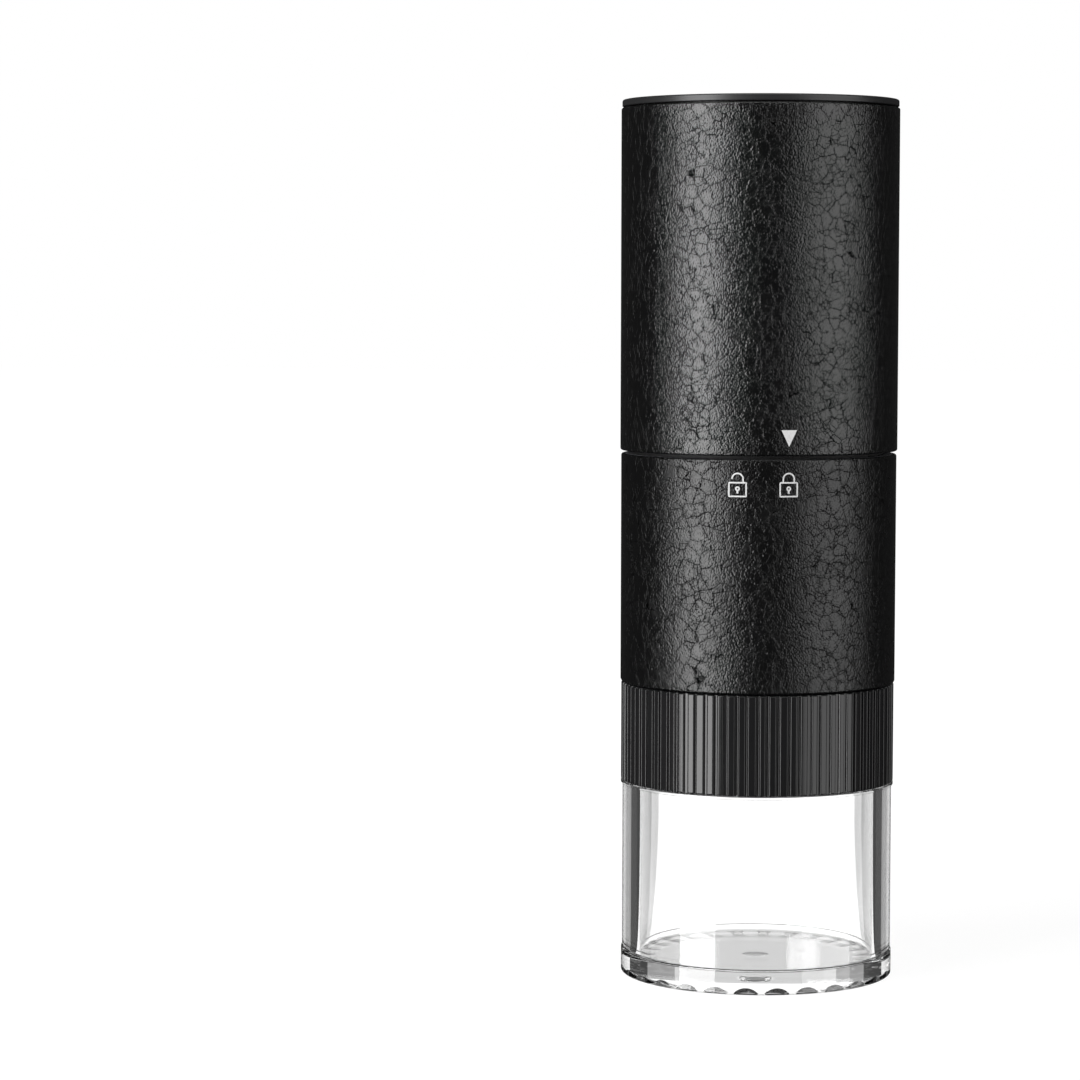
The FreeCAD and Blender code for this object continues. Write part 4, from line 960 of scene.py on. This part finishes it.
@dataclass
class SleeveMaker:
    """A leather sleeve with rounded edges and a butt seam at the back."""

    name: str
    node: str
    body: str
    radius: float
    low: float
    high: float
    finish: Stock
    thickness: float = 0.8
    edge: float = 0.45
    seam_width: float = 0.35
    seam_depth: float = 0.45
    port_level: Optional[float] = None
    port_width: float = 9.74
    port_height: float = 4.06

    def build(self) -> bpy.types.Object:
        """Build the sleeve and seat it.

        Returns:
            The sleeve.
        """
        inner = self.radius - self.thickness
        outline = [
            (inner, self.low), (self.radius, self.low), (self.radius, self.high), (inner, self.high),
        ]
        sleeve = turned(self.name, eased(outline, {1: self.edge, 2: self.edge}, 5), Segments.FINE)
        carved(sleeve, self.seam())
        if self.port_level is not None:
            carved(sleeve, self.port())
        seat(settled(sleeve, 40), self.body, "black_leather", self.finish.value, self.node)
        return sleeve

    def seam(self) -> bpy.types.Object:
        """Make the cutter of the butt seam.

        Returns:
            The cutter.
        """
        put_down()
        height = self.high - self.low + 2
        bpy.ops.mesh.primitive_cube_add(size=MM, location=(0, self.radius * MM, (self.low + self.high) / 2 * MM))
        cutter = named("seam_cutter")
        bpy.ops.transform.resize(value=(self.seam_width, 2 * self.seam_depth, height))
        return cutter

    def port(self) -> bpy.types.Object:
        """Make the cutter of the charging port.

        Returns:
            The cutter.
        """
        put_down()
        bpy.ops.mesh.primitive_cube_add(size=MM, location=(0, self.radius * MM, self.port_level * MM))
        cutter = named("port_cutter")
        bpy.ops.transform.resize(value=(self.port_width, 8, self.port_height))
        bpy.ops.object.transform_apply(location=False, rotation=False, scale=True)
        bpy.ops.object.mode_set(mode="EDIT")
        bpy.ops.mesh.select_mode(type="EDGE")
        bpy.ops.mesh.select_all(action="DESELECT")
        bpy.ops.object.mode_set(mode="OBJECT")
        for edge in cutter.data.edges:
            first, second = (cutter.data.vertices[index].co for index in edge.vertices)
            edge.select = abs(first.y - second.y) > MM
        bpy.ops.object.mode_set(mode="EDIT")
        bpy.ops.mesh.bevel(offset=self.port_height * 0.499 * MM, segments=8, affect="EDGES")
        bpy.ops.object.mode_set(mode="OBJECT")
        return cutter


# Printed marks

@dataclass
class MarkMaker:
    """The padlocks and the pointer, printed on the leather."""

    angle_closed: float = 12.3
    angle_open: float = -8.4
    hopper_radius: float = 32.8
    head_radius: float = 33.0
    lift: float = 0.03
    body_width: float = 4.35
    body_low: float = 116.05
    body_high: float = 119.55
    stroke: float = 0.34
    shackle_radius: float = 1.46
    shackle_top: float = 121.7
    shackle_gap: float = 0.65
    pointer_width: float = 3.64
    pointer_tip: float = 127.7
    pointer_top: float = 131.5

    def build(self, hopper: bpy.types.Object, head: bpy.types.Object) -> None:
        """Build the three marks and seat them.

        Args:
            hopper: the hopper's sleeve.
            head: the head's sleeve.
        """
        closed = self.padlock("closed_padlock_mark", True)
        self.print_on(closed, hopper, self.angle_closed, self.hopper_radius, "hopper")
        opened = self.padlock("open_padlock_mark", False)
        self.print_on(opened, hopper, self.angle_open, self.hopper_radius, "hopper")
        self.print_on(self.pointer(), head, self.angle_closed, self.head_radius, "head")

    def padlock(self, name: str, closed: bool) -> bpy.types.Object:
        """Draw a padlock on the plane that faces -Y.

        Args:
            name: the mark's name.
            closed: whether both legs of the shackle reach the body.

        Returns:
            The flat mark.
        """
        return joined(name, [self.lock_body(), self.shackle(closed), self.keyhole()])

    def lock_body(self) -> bpy.types.Object:
        """Draw the padlock's body as a frame with rounded corners."""
        put_down()
        height = self.body_high - self.body_low
        middle = (self.body_high + self.body_low) / 2
        bpy.ops.mesh.primitive_plane_add(size=MM, location=(0, 0, middle * MM), rotation=(math.pi / 2, 0, 0))
        body = named("lock_body")
        bpy.ops.transform.resize(value=(self.body_width, 1, height))
        bpy.ops.object.transform_apply(location=True, rotation=True, scale=True)
        bpy.ops.object.mode_set(mode="EDIT")
        bpy.ops.mesh.select_all(action="SELECT")
        bpy.ops.mesh.bevel(offset=0.3 * MM, segments=4, affect="VERTICES")
        bpy.ops.mesh.select_all(action="SELECT")
        bpy.ops.mesh.inset(thickness=self.stroke * MM)
        bpy.ops.mesh.delete(type="FACE")
        bpy.ops.object.mode_set(mode="OBJECT")
        return body

    def shackle(self, closed: bool) -> bpy.types.Object:
        """Draw the shackle as half a ring with its legs.

        Args:
            closed: whether both legs reach the body.

        Returns:
            The flat shackle.
        """
        put_down()
        outer = self.shackle_radius
        spring = self.shackle_top - outer
        bpy.ops.mesh.primitive_circle_add(
            vertices=Segments.SMALL.value, radius=outer * MM, fill_type="NGON",
            location=(0, 0, spring * MM), rotation=(math.pi / 2, 0, 0),
        )
        shackle = named("lock_shackle")
        bpy.ops.object.transform_apply(location=True, rotation=True, scale=True)
        bpy.ops.object.mode_set(mode="EDIT")
        bpy.ops.mesh.select_all(action="SELECT")
        bpy.ops.mesh.inset(thickness=self.stroke * MM)
        bpy.ops.mesh.delete(type="FACE")
        bpy.ops.mesh.select_all(action="SELECT")
        bpy.ops.mesh.bisect(plane_co=(0, 0, spring * MM), plane_no=(0, 0, 1), clear_inner=True)
        reaches = {1: spring - self.body_high + self.stroke / 2, -1: spring - self.body_high - self.shackle_gap}
        if closed:
            reaches[-1] = reaches[1]
        for side, reach in reaches.items():
            pick(shackle, lambda place, side=side: abs(place.z - spring) < self.stroke / 9 and place.x * side > 0)
            bpy.ops.mesh.extrude_region()
            bpy.ops.transform.translate(value=(0, 0, -reach * MM))
        bpy.ops.object.mode_set(mode="OBJECT")
        return shackle

    def keyhole(self) -> bpy.types.Object:
        """Draw the keyhole as a ring over a short bar."""
        middle = self.body_low + 1.95
        put_down()
        bpy.ops.mesh.primitive_circle_add(
            vertices=24, radius=0.56 * MM, fill_type="NGON", location=(0, 0, middle * MM),
            rotation=(math.pi / 2, 0, 0),
        )
        hole = named("keyhole")
        bpy.ops.object.mode_set(mode="EDIT")
        bpy.ops.mesh.select_all(action="SELECT")
        bpy.ops.mesh.inset(thickness=0.36 * MM)
        bpy.ops.mesh.delete(type="FACE")
        bpy.ops.object.mode_set(mode="OBJECT")
        put_down()
        bpy.ops.mesh.primitive_plane_add(
            size=MM, location=(0, 0, (middle - 0.8) * MM), rotation=(math.pi / 2, 0, 0),
        )
        named("keyhole_stem")
        bpy.ops.transform.resize(value=(0.44, 1, 0.62))
        return joined("keyhole", [hole, bpy.context.object])

    def pointer(self) -> bpy.types.Object:
        """Draw the triangle that points down."""
        put_down()
        radius = (self.pointer_top - self.pointer_tip) / 1.5
        middle = self.pointer_tip + radius
        bpy.ops.mesh.primitive_circle_add(
            vertices=3, radius=radius * MM, fill_type="NGON", location=(0, 0, middle * MM),
            rotation=(math.pi / 2, 0, 0),
        )
        pointer = named("lock_pointer_mark")
        bpy.ops.object.transform_apply(location=True, rotation=True, scale=True)
        low = min(vertex.co.z for vertex in pointer.data.vertices)
        if abs(low / MM - self.pointer_tip) > 0.1:
            bpy.ops.transform.resize(value=(1, 1, -1), center_override=(0, 0, middle * MM))
            bpy.ops.object.transform_apply(location=True, rotation=True, scale=True)
        wide = max(vertex.co.x for vertex in pointer.data.vertices) * 2 / MM
        bpy.ops.transform.resize(value=(self.pointer_width / wide, 1, 1))
        return pointer

    def print_on(
        self, mark: bpy.types.Object, sleeve: bpy.types.Object, angle: float, radius: float, body: str,
    ) -> None:
        """Lay a flat mark on a sleeve.

        Args:
            mark: the flat mark, facing -Y on the XZ plane.
            sleeve: the sleeve that carries it.
            angle: its place round the sleeve from the front towards +X, in degrees.
            radius: the sleeve's radius.
            body: the body that it moves with.
        """
        take(mark)
        bpy.ops.object.transform_apply(location=True, rotation=True, scale=True)
        bpy.ops.object.mode_set(mode="EDIT")
        bpy.ops.mesh.select_all(action="SELECT")
        bpy.ops.mesh.quads_convert_to_tris()
        bpy.ops.mesh.subdivide(number_cuts=2)
        bpy.ops.object.mode_set(mode="OBJECT")
        mark.location.y = -radius * MM
        bpy.ops.object.transform_apply(location=True, rotation=True, scale=True)
        mark.rotation_euler.z = math.radians(angle)
        bpy.ops.object.transform_apply(location=True, rotation=True, scale=True)
        modified(mark, "SHRINKWRAP", target=sleeve, wrap_method="NEAREST_SURFACEPOINT", offset=self.lift * MM)
        take(mark)
        bpy.ops.object.mode_set(mode="EDIT")
        bpy.ops.mesh.select_all(action="SELECT")
        bpy.ops.mesh.normals_make_consistent(inside=False)
        bpy.ops.object.mode_set(mode="OBJECT")
        self.face_out(mark)
        seat(settled(mark, 60), body, "light_guide", Stock.PRINT_WHITE.value)

    def face_out(self, mark: bpy.types.Object) -> None:
        """Turn a mark's faces outwards where they point in.

        Args:
            mark: the mark on its sleeve.
        """
        inward = sum(face.normal.y > 0 for face in mark.data.polygons)
        if inward * 2 > len(mark.data.polygons):
            bpy.ops.object.mode_set(mode="EDIT")
            bpy.ops.mesh.select_all(action="SELECT")
            bpy.ops.mesh.flip_normals()
            bpy.ops.object.mode_set(mode="OBJECT")


# Top of the head

@dataclass
class TopMaker:
    """The cap, the light ring and the power button."""

    cap_radius: float = 32.8
    low: float = 206.9
    high: float = 208.5
    skirt_low: float = 202.9
    skirt_outer: float = 30.0
    skirt_inner: float = 28.4
    guide_bore: float = 9.9
    guide_outer: float = 11.2
    button_bore: float = 8.2
    light_inner: float = 10.0
    light_outer: float = 11.6
    light_depth: float = 1.2
    button_radius: float = 7.9
    button_top: float = 208.4
    flange: float = 9.3
    flange_low: float = 205.95
    flange_high: float = 206.85
    stem: float = 1.6
    stem_low: float = 198.6
    sign_radius: float = 2.3
    sign_stroke: float = 0.36
    sign_gap: float = 26.0
    sign_level: float = 208.12

    def build(self) -> None:
        """Build the pieces and seat them."""
        seat(settled(self.cap(), 30), "head", "black_metal", Stock.CAP_BLACK.value, "top_cap")
        seat(settled(self.light(), 30), "head", "light_guide", Stock.LIGHT_GUIDE.value, "light_ring")
        seat(settled(self.button(), 30), "button", "button_black", Stock.BUTTON_BLACK.value, "power_button")
        seat(settled(self.sign(), 60), "button", "light_guide", Stock.LIGHT_GUIDE.value)

    def cap(self) -> bpy.types.Object:
        """Turn the cap with its eased rim."""
        groove = self.high - self.light_depth
        outline = [
            (self.button_bore, self.low), (self.guide_bore, self.low), (self.guide_bore, self.skirt_low),
            (self.guide_outer, self.skirt_low), (self.guide_outer, self.low), (self.skirt_inner, self.low),
            (self.skirt_inner, self.skirt_low), (self.skirt_outer, self.skirt_low), (self.skirt_outer, self.low),
            (self.cap_radius, self.low), (self.cap_radius, self.high), (self.light_outer, self.high),
            (self.light_outer, groove), (self.light_inner, groove), (self.light_inner, self.high),
            (self.button_bore, self.high),
        ]
        rounds = {9: 0.2, 10: 0.45, 11: 0.12, 14: 0.12, 15: 0.2}
        return turned("head_cap", eased(outline, rounds), Segments.FINE)

    def light(self) -> bpy.types.Object:
        """Turn the light guide."""
        inner, outer = self.light_inner + 0.05, self.light_outer - 0.05
        outline = [
            (inner, self.high - self.light_depth + 0.05), (outer, self.high - self.light_depth + 0.05),
            (outer, self.high), (inner, self.high),
        ]
        return turned("light_guide_ring", eased(outline, {2: 0.2, 3: 0.2}), Segments.MEDIUM)

    def button(self) -> bpy.types.Object:
        """Turn the button with its shallow dish."""
        dish = [(self.button_radius * share, self.button_top - 0.35 * (1 - share ** 2)) for share in (0.8, 0.6, 0.4, 0.2, 0)]
        outline = [
            (0, self.stem_low), (self.stem, self.stem_low), (self.stem, self.flange_low),
            (self.flange, self.flange_low), (self.flange, self.flange_high), (self.button_radius, self.flange_high),
            (self.button_radius, self.button_top), (self.button_radius * 0.92, self.button_top), *dish,
        ]
        return turned("button_cap", eased(outline, {6: 0.3}), Segments.MEDIUM, closed=False)

    def sign(self) -> bpy.types.Object:
        """Draw the power sign, an open ring with a bar, over the button's dish."""
        put_down()
        bpy.ops.mesh.primitive_circle_add(
            vertices=Segments.SMALL.value, radius=self.sign_radius * MM, fill_type="NGON",
            location=(0, 0, self.sign_level * MM),
        )
        ring = named("power_ring")
        bpy.ops.object.mode_set(mode="EDIT")
        bpy.ops.mesh.select_all(action="SELECT")
        bpy.ops.mesh.inset(thickness=self.sign_stroke * MM)
        bpy.ops.mesh.delete(type="FACE")
        gap = math.radians(self.sign_gap)
        pick(ring, lambda place: abs(math.atan2(place.x, place.y)) < gap)
        bpy.ops.mesh.delete(type="VERT")
        bpy.ops.object.mode_set(mode="OBJECT")
        put_down()
        middle = Vector((0, self.sign_radius - 0.6, self.sign_level))
        bpy.ops.mesh.primitive_plane_add(size=MM, location=middle * MM)
        bar = named("power_bar")
        bpy.ops.transform.resize(value=(self.sign_stroke, 2, 1))
        sign = joined("power_mark", [ring, bar])
        take(sign)
        bpy.ops.object.transform_apply(location=True, rotation=True, scale=True)
        return sign


# Studio

@dataclass
class Studio:
    """Floor, dark flags, lamps, surroundings and camera."""

    lens: float = 120.13
    distance: float = 862.0
    camera_height: float = 165.15
    yaw: float = 3.4703
    pitch: float = 4.0798
    roll: float = 0.1078
    sensor: float = 36.0

    def build(self) -> None:
        """Set the stage, the lamps and the camera."""
        self.floor()
        self.surroundings()
        for side in (-1, 1):
            for name, inner, outer, shade in (("pale", 10.5, 15, 0.7), ("grey", 15, 30, 0.36), ("dark", 30, 50, 0.07)):
                self.flag(f"{name}_flag_{'left' if side < 0 else 'right'}", side, inner, outer, shade)
        self.back_card()
        self.lamp("left_softbox", -50.5, 10, 1.4, 0.88, 1.9, 37.5)
        self.lamp("right_softbox", 63, 10, 1.6, 1.49, 1.9, 19.0)
        self.lamp("top_softbox", 0, 80, 1.5, 1.4, 1.4, 12.0)
        self.camera()
        bpy.context.scene.view_settings.view_transform = "Standard"

    def floor(self) -> None:
        """Lay the pale floor, which shows white and keeps the object's shadow; seen through the clear cup it has a
        painted shadow under the cup.
        """
        put_down()
        bpy.ops.mesh.primitive_plane_add(size=12, location=(0, 0, -0.05 * MM))
        floor = named("studio_floor")
        bpy.ops.object.transform_apply(location=True)
        material = bpy.data.materials.new("floor_white")
        material.use_nodes = True
        material.node_tree.nodes.clear()
        bench = Bench(material.node_tree)
        output = bench.add("ShaderNodeOutputMaterial")
        rays = bench.add("ShaderNodeLightPath")
        reach = bench.add("ShaderNodeVectorMath", {0: bench.object_place()}, operation="LENGTH").outputs["Value"]
        matt = bench.add("ShaderNodeBsdfDiffuse", {"Color": (0.15, 0.15, 0.15, 1)})
        glow = bench.add("ShaderNodeEmission", {"Color": (1, 1, 1, 1), "Strength": bench.ramp(reach, 0.1, 0.5, 0.9, 1.0)})
        seen = bench.add("ShaderNodeAddShader", {0: matt.outputs[0], 1: glow.outputs[0]})
        # Painted shadow: seen through the clear cup, the floor is darker within about 33 to 40 mm of the middle, under
        # the cup.
        shade = bench.add("ShaderNodeEmission", {"Color": (1, 1, 1, 1), "Strength": bench.ramp(reach, 0.033, 0.04, 0.6, 1.2)})
        plain = bench.add("ShaderNodeBsdfDiffuse", {"Color": (0.25, 0.25, 0.25, 1)})
        through = bench.add(
            "ShaderNodeMixShader", {0: rays.outputs["Is Transmission Ray"], 1: plain.outputs[0], 2: shade.outputs[0]},
        )
        mixed = bench.add("ShaderNodeMixShader", {0: rays.outputs["Is Camera Ray"], 1: through.outputs[0], 2: seen.outputs[0]})
        bench.tree.links.new(mixed.outputs[0], output.inputs["Surface"])
        floor.data.materials.append(material)
        floor.visible_glossy = False
        floor.visible_shadow = False

    def surroundings(self) -> None:
        """Make the surroundings white where they are seen and a plain grey as light."""
        world = bpy.data.worlds.new("studio_surroundings")
        bpy.context.scene.world = world
        world.use_nodes = True
        world.node_tree.nodes.clear()
        bench = Bench(world.node_tree)
        output = bench.add("ShaderNodeOutputWorld")
        rays = bench.add("ShaderNodeLightPath")
        through = bench.sum("MULTIPLY", rays.outputs["Is Transmission Ray"], 1.2)
        level = bench.sum("MAXIMUM", bench.sum("MAXIMUM", rays.outputs["Is Camera Ray"], through), 0.03)
        mixed = bench.add("ShaderNodeBackground", {"Color": (1, 1, 1, 1), "Strength": level})
        bench.tree.links.new(mixed.outputs[0], output.inputs["Surface"])

    def flag(self, name: str, side: int, inner: float, outer: float, shade: float) -> None:
        """Lay a card behind the object that ends in a standing sheet, seen only through the clear cup.

        Args:
            name: the flag's name.
            side: -1 for the left and 1 for the right.
            inner: its inner edge, in degrees from straight back as seen from the cup's side.
            outer: its outer edge, likewise.
            shade: how light it is.
        """
        near, far, tall = 0.007, 0.25, 0.3
        put_down()
        half = math.tan(math.radians(outer - inner) / 2)
        bpy.ops.mesh.primitive_plane_add(size=1, location=(0, (near + far) / 2, 0.2 * MM))
        flag = named(name)
        bpy.ops.transform.resize(value=(2 * far * half, far - near, 1))
        bpy.ops.object.transform_apply(location=True, scale=True)
        bpy.ops.object.mode_set(mode="EDIT")
        pick(flag, lambda place: place.y * MM < (near + far) / 2)
        bpy.ops.transform.resize(value=(near / far, 1, 1), center_override=(0, 0, 0))
        pick(flag, lambda place: place.y * MM > (near + far) / 2)
        bpy.ops.mesh.extrude_region()
        bpy.ops.transform.translate(value=(0, 0, tall))
        bpy.ops.object.mode_set(mode="OBJECT")
        flag.location = (side * 31.5 * MM, -4 * MM, 0)
        flag.rotation_euler.z = -side * math.radians((inner + outer) / 2)
        bpy.ops.object.transform_apply(location=True, rotation=True, scale=True)
        self.toned(flag, shade)

    def back_card(self) -> None:
        """Stand a grey sheet far behind the object, which the clear cup's thick base mirrors."""
        put_down()
        bpy.ops.mesh.primitive_plane_add(size=1, location=(0, 0.9, 0.25), rotation=(math.pi / 2, 0, 0))
        card = named("back_card")
        bpy.ops.transform.resize(value=(1.2, 1, 0.4))
        bpy.ops.object.transform_apply(location=True, rotation=True, scale=True)
        self.toned(card, 0.66)

    def toned(self, card: bpy.types.Object, shade: float) -> None:
        """Give a card its tone and let only the clear cup show it.

        Args:
            card: the card.
            shade: how light it is.
        """
        material = bpy.data.materials.new(card.name)
        material.use_nodes = True
        material.node_tree.nodes.clear()
        bench = Bench(material.node_tree)
        output = bench.add("ShaderNodeOutputMaterial")
        tone = bench.add("ShaderNodeEmission", {"Color": (1, 1, 1, 1), "Strength": shade})
        bench.tree.links.new(tone.outputs[0], output.inputs["Surface"])
        card.data.materials.append(material)
        card.visible_camera = False
        card.visible_diffuse = False
        card.visible_glossy = False
        card.visible_shadow = False

    def lamp(
        self, name: str, angle: float, rise: float, distance: float, width: float, height: float, power: float,
    ) -> None:
        """Hang a softbox that faces the object.

        Args:
            name: the lamp's name.
            angle: its place round the object from the front towards +X, in degrees.
            rise: its height above the horizon, in degrees.
            distance: its distance from the object in metres.
            width: its width in metres.
            height: its height in metres.
            power: its power in watts.
        """
        data = bpy.data.lights.new(name, "AREA")
        data.shape = "RECTANGLE"
        data.size = width
        data.size_y = height
        data.energy = power
        lamp = bpy.data.objects.new(name, data)
        bpy.context.scene.collection.objects.link(lamp)
        side, up = math.radians(angle), math.radians(rise)
        away = Vector((math.sin(side) * math.cos(up), -math.cos(side) * math.cos(up), math.sin(up)))
        lamp.location = Vector((0, 0, 0.1)) + away * distance
        lamp.rotation_mode = "QUATERNION"
        lamp.rotation_quaternion = (-away).to_track_quat("-Z", "Y")

    def camera(self) -> None:
        """Place the camera at the photograph's angle."""
        data = bpy.data.cameras.new("studio_camera")
        data.lens = self.lens
        data.sensor_width = self.sensor
        data.clip_start = 0.05
        data.clip_end = 50
        camera = bpy.data.objects.new("studio_camera", data)
        bpy.context.scene.collection.objects.link(camera)
        camera.location = (0, -self.distance * MM, self.camera_height * MM)
        yaw, pitch = math.radians(self.yaw), math.radians(self.pitch)
        ahead = Vector((-math.sin(yaw) * math.cos(pitch), math.cos(yaw) * math.cos(pitch), -math.sin(pitch)))
        camera.rotation_mode = "QUATERNION"
        turn = Quaternion(ahead, -math.radians(self.roll))
        camera.rotation_quaternion = turn @ ahead.to_track_quat("-Z", "Y")
        bpy.context.scene.camera = camera


def dress_nodes(nodes: dict[str, bpy.types.Object], record: dict) -> None:
    """Give every carried-over CAD node its finish.

    Args:
        nodes: the CAD nodes by name.
        record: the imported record.
    """
    for part in record["subparts"]:
        dress(nodes[part["node"]], SLOT_STOCK[part["material_slot"]].value)


def main() -> None:
    """Build and dress the grinder and its studio."""
    logging.basicConfig(level=logging.INFO, format="%(name)s: %(message)s")
    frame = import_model()
    dress_nodes(frame["nodes"], frame["record"])
    CupMaker().build()
    SettingRingMaker().build()
    hopper = SleeveMaker(
        "hopper_sleeve", "hopper_wrap", "hopper", 32.8, 70.3, 124.7, Stock.HOPPER_LEATHER,
    ).build()
    head = SleeveMaker(
        "head_sleeve", "head_wrap", "head", 33.0, 125.5, 206.6, Stock.HEAD_LEATHER, port_level=196.23,
    ).build()
    MarkMaker().build(hopper, head)
    TopMaker().build()
    Studio().build()


if __name__ == "__main__":
    main()
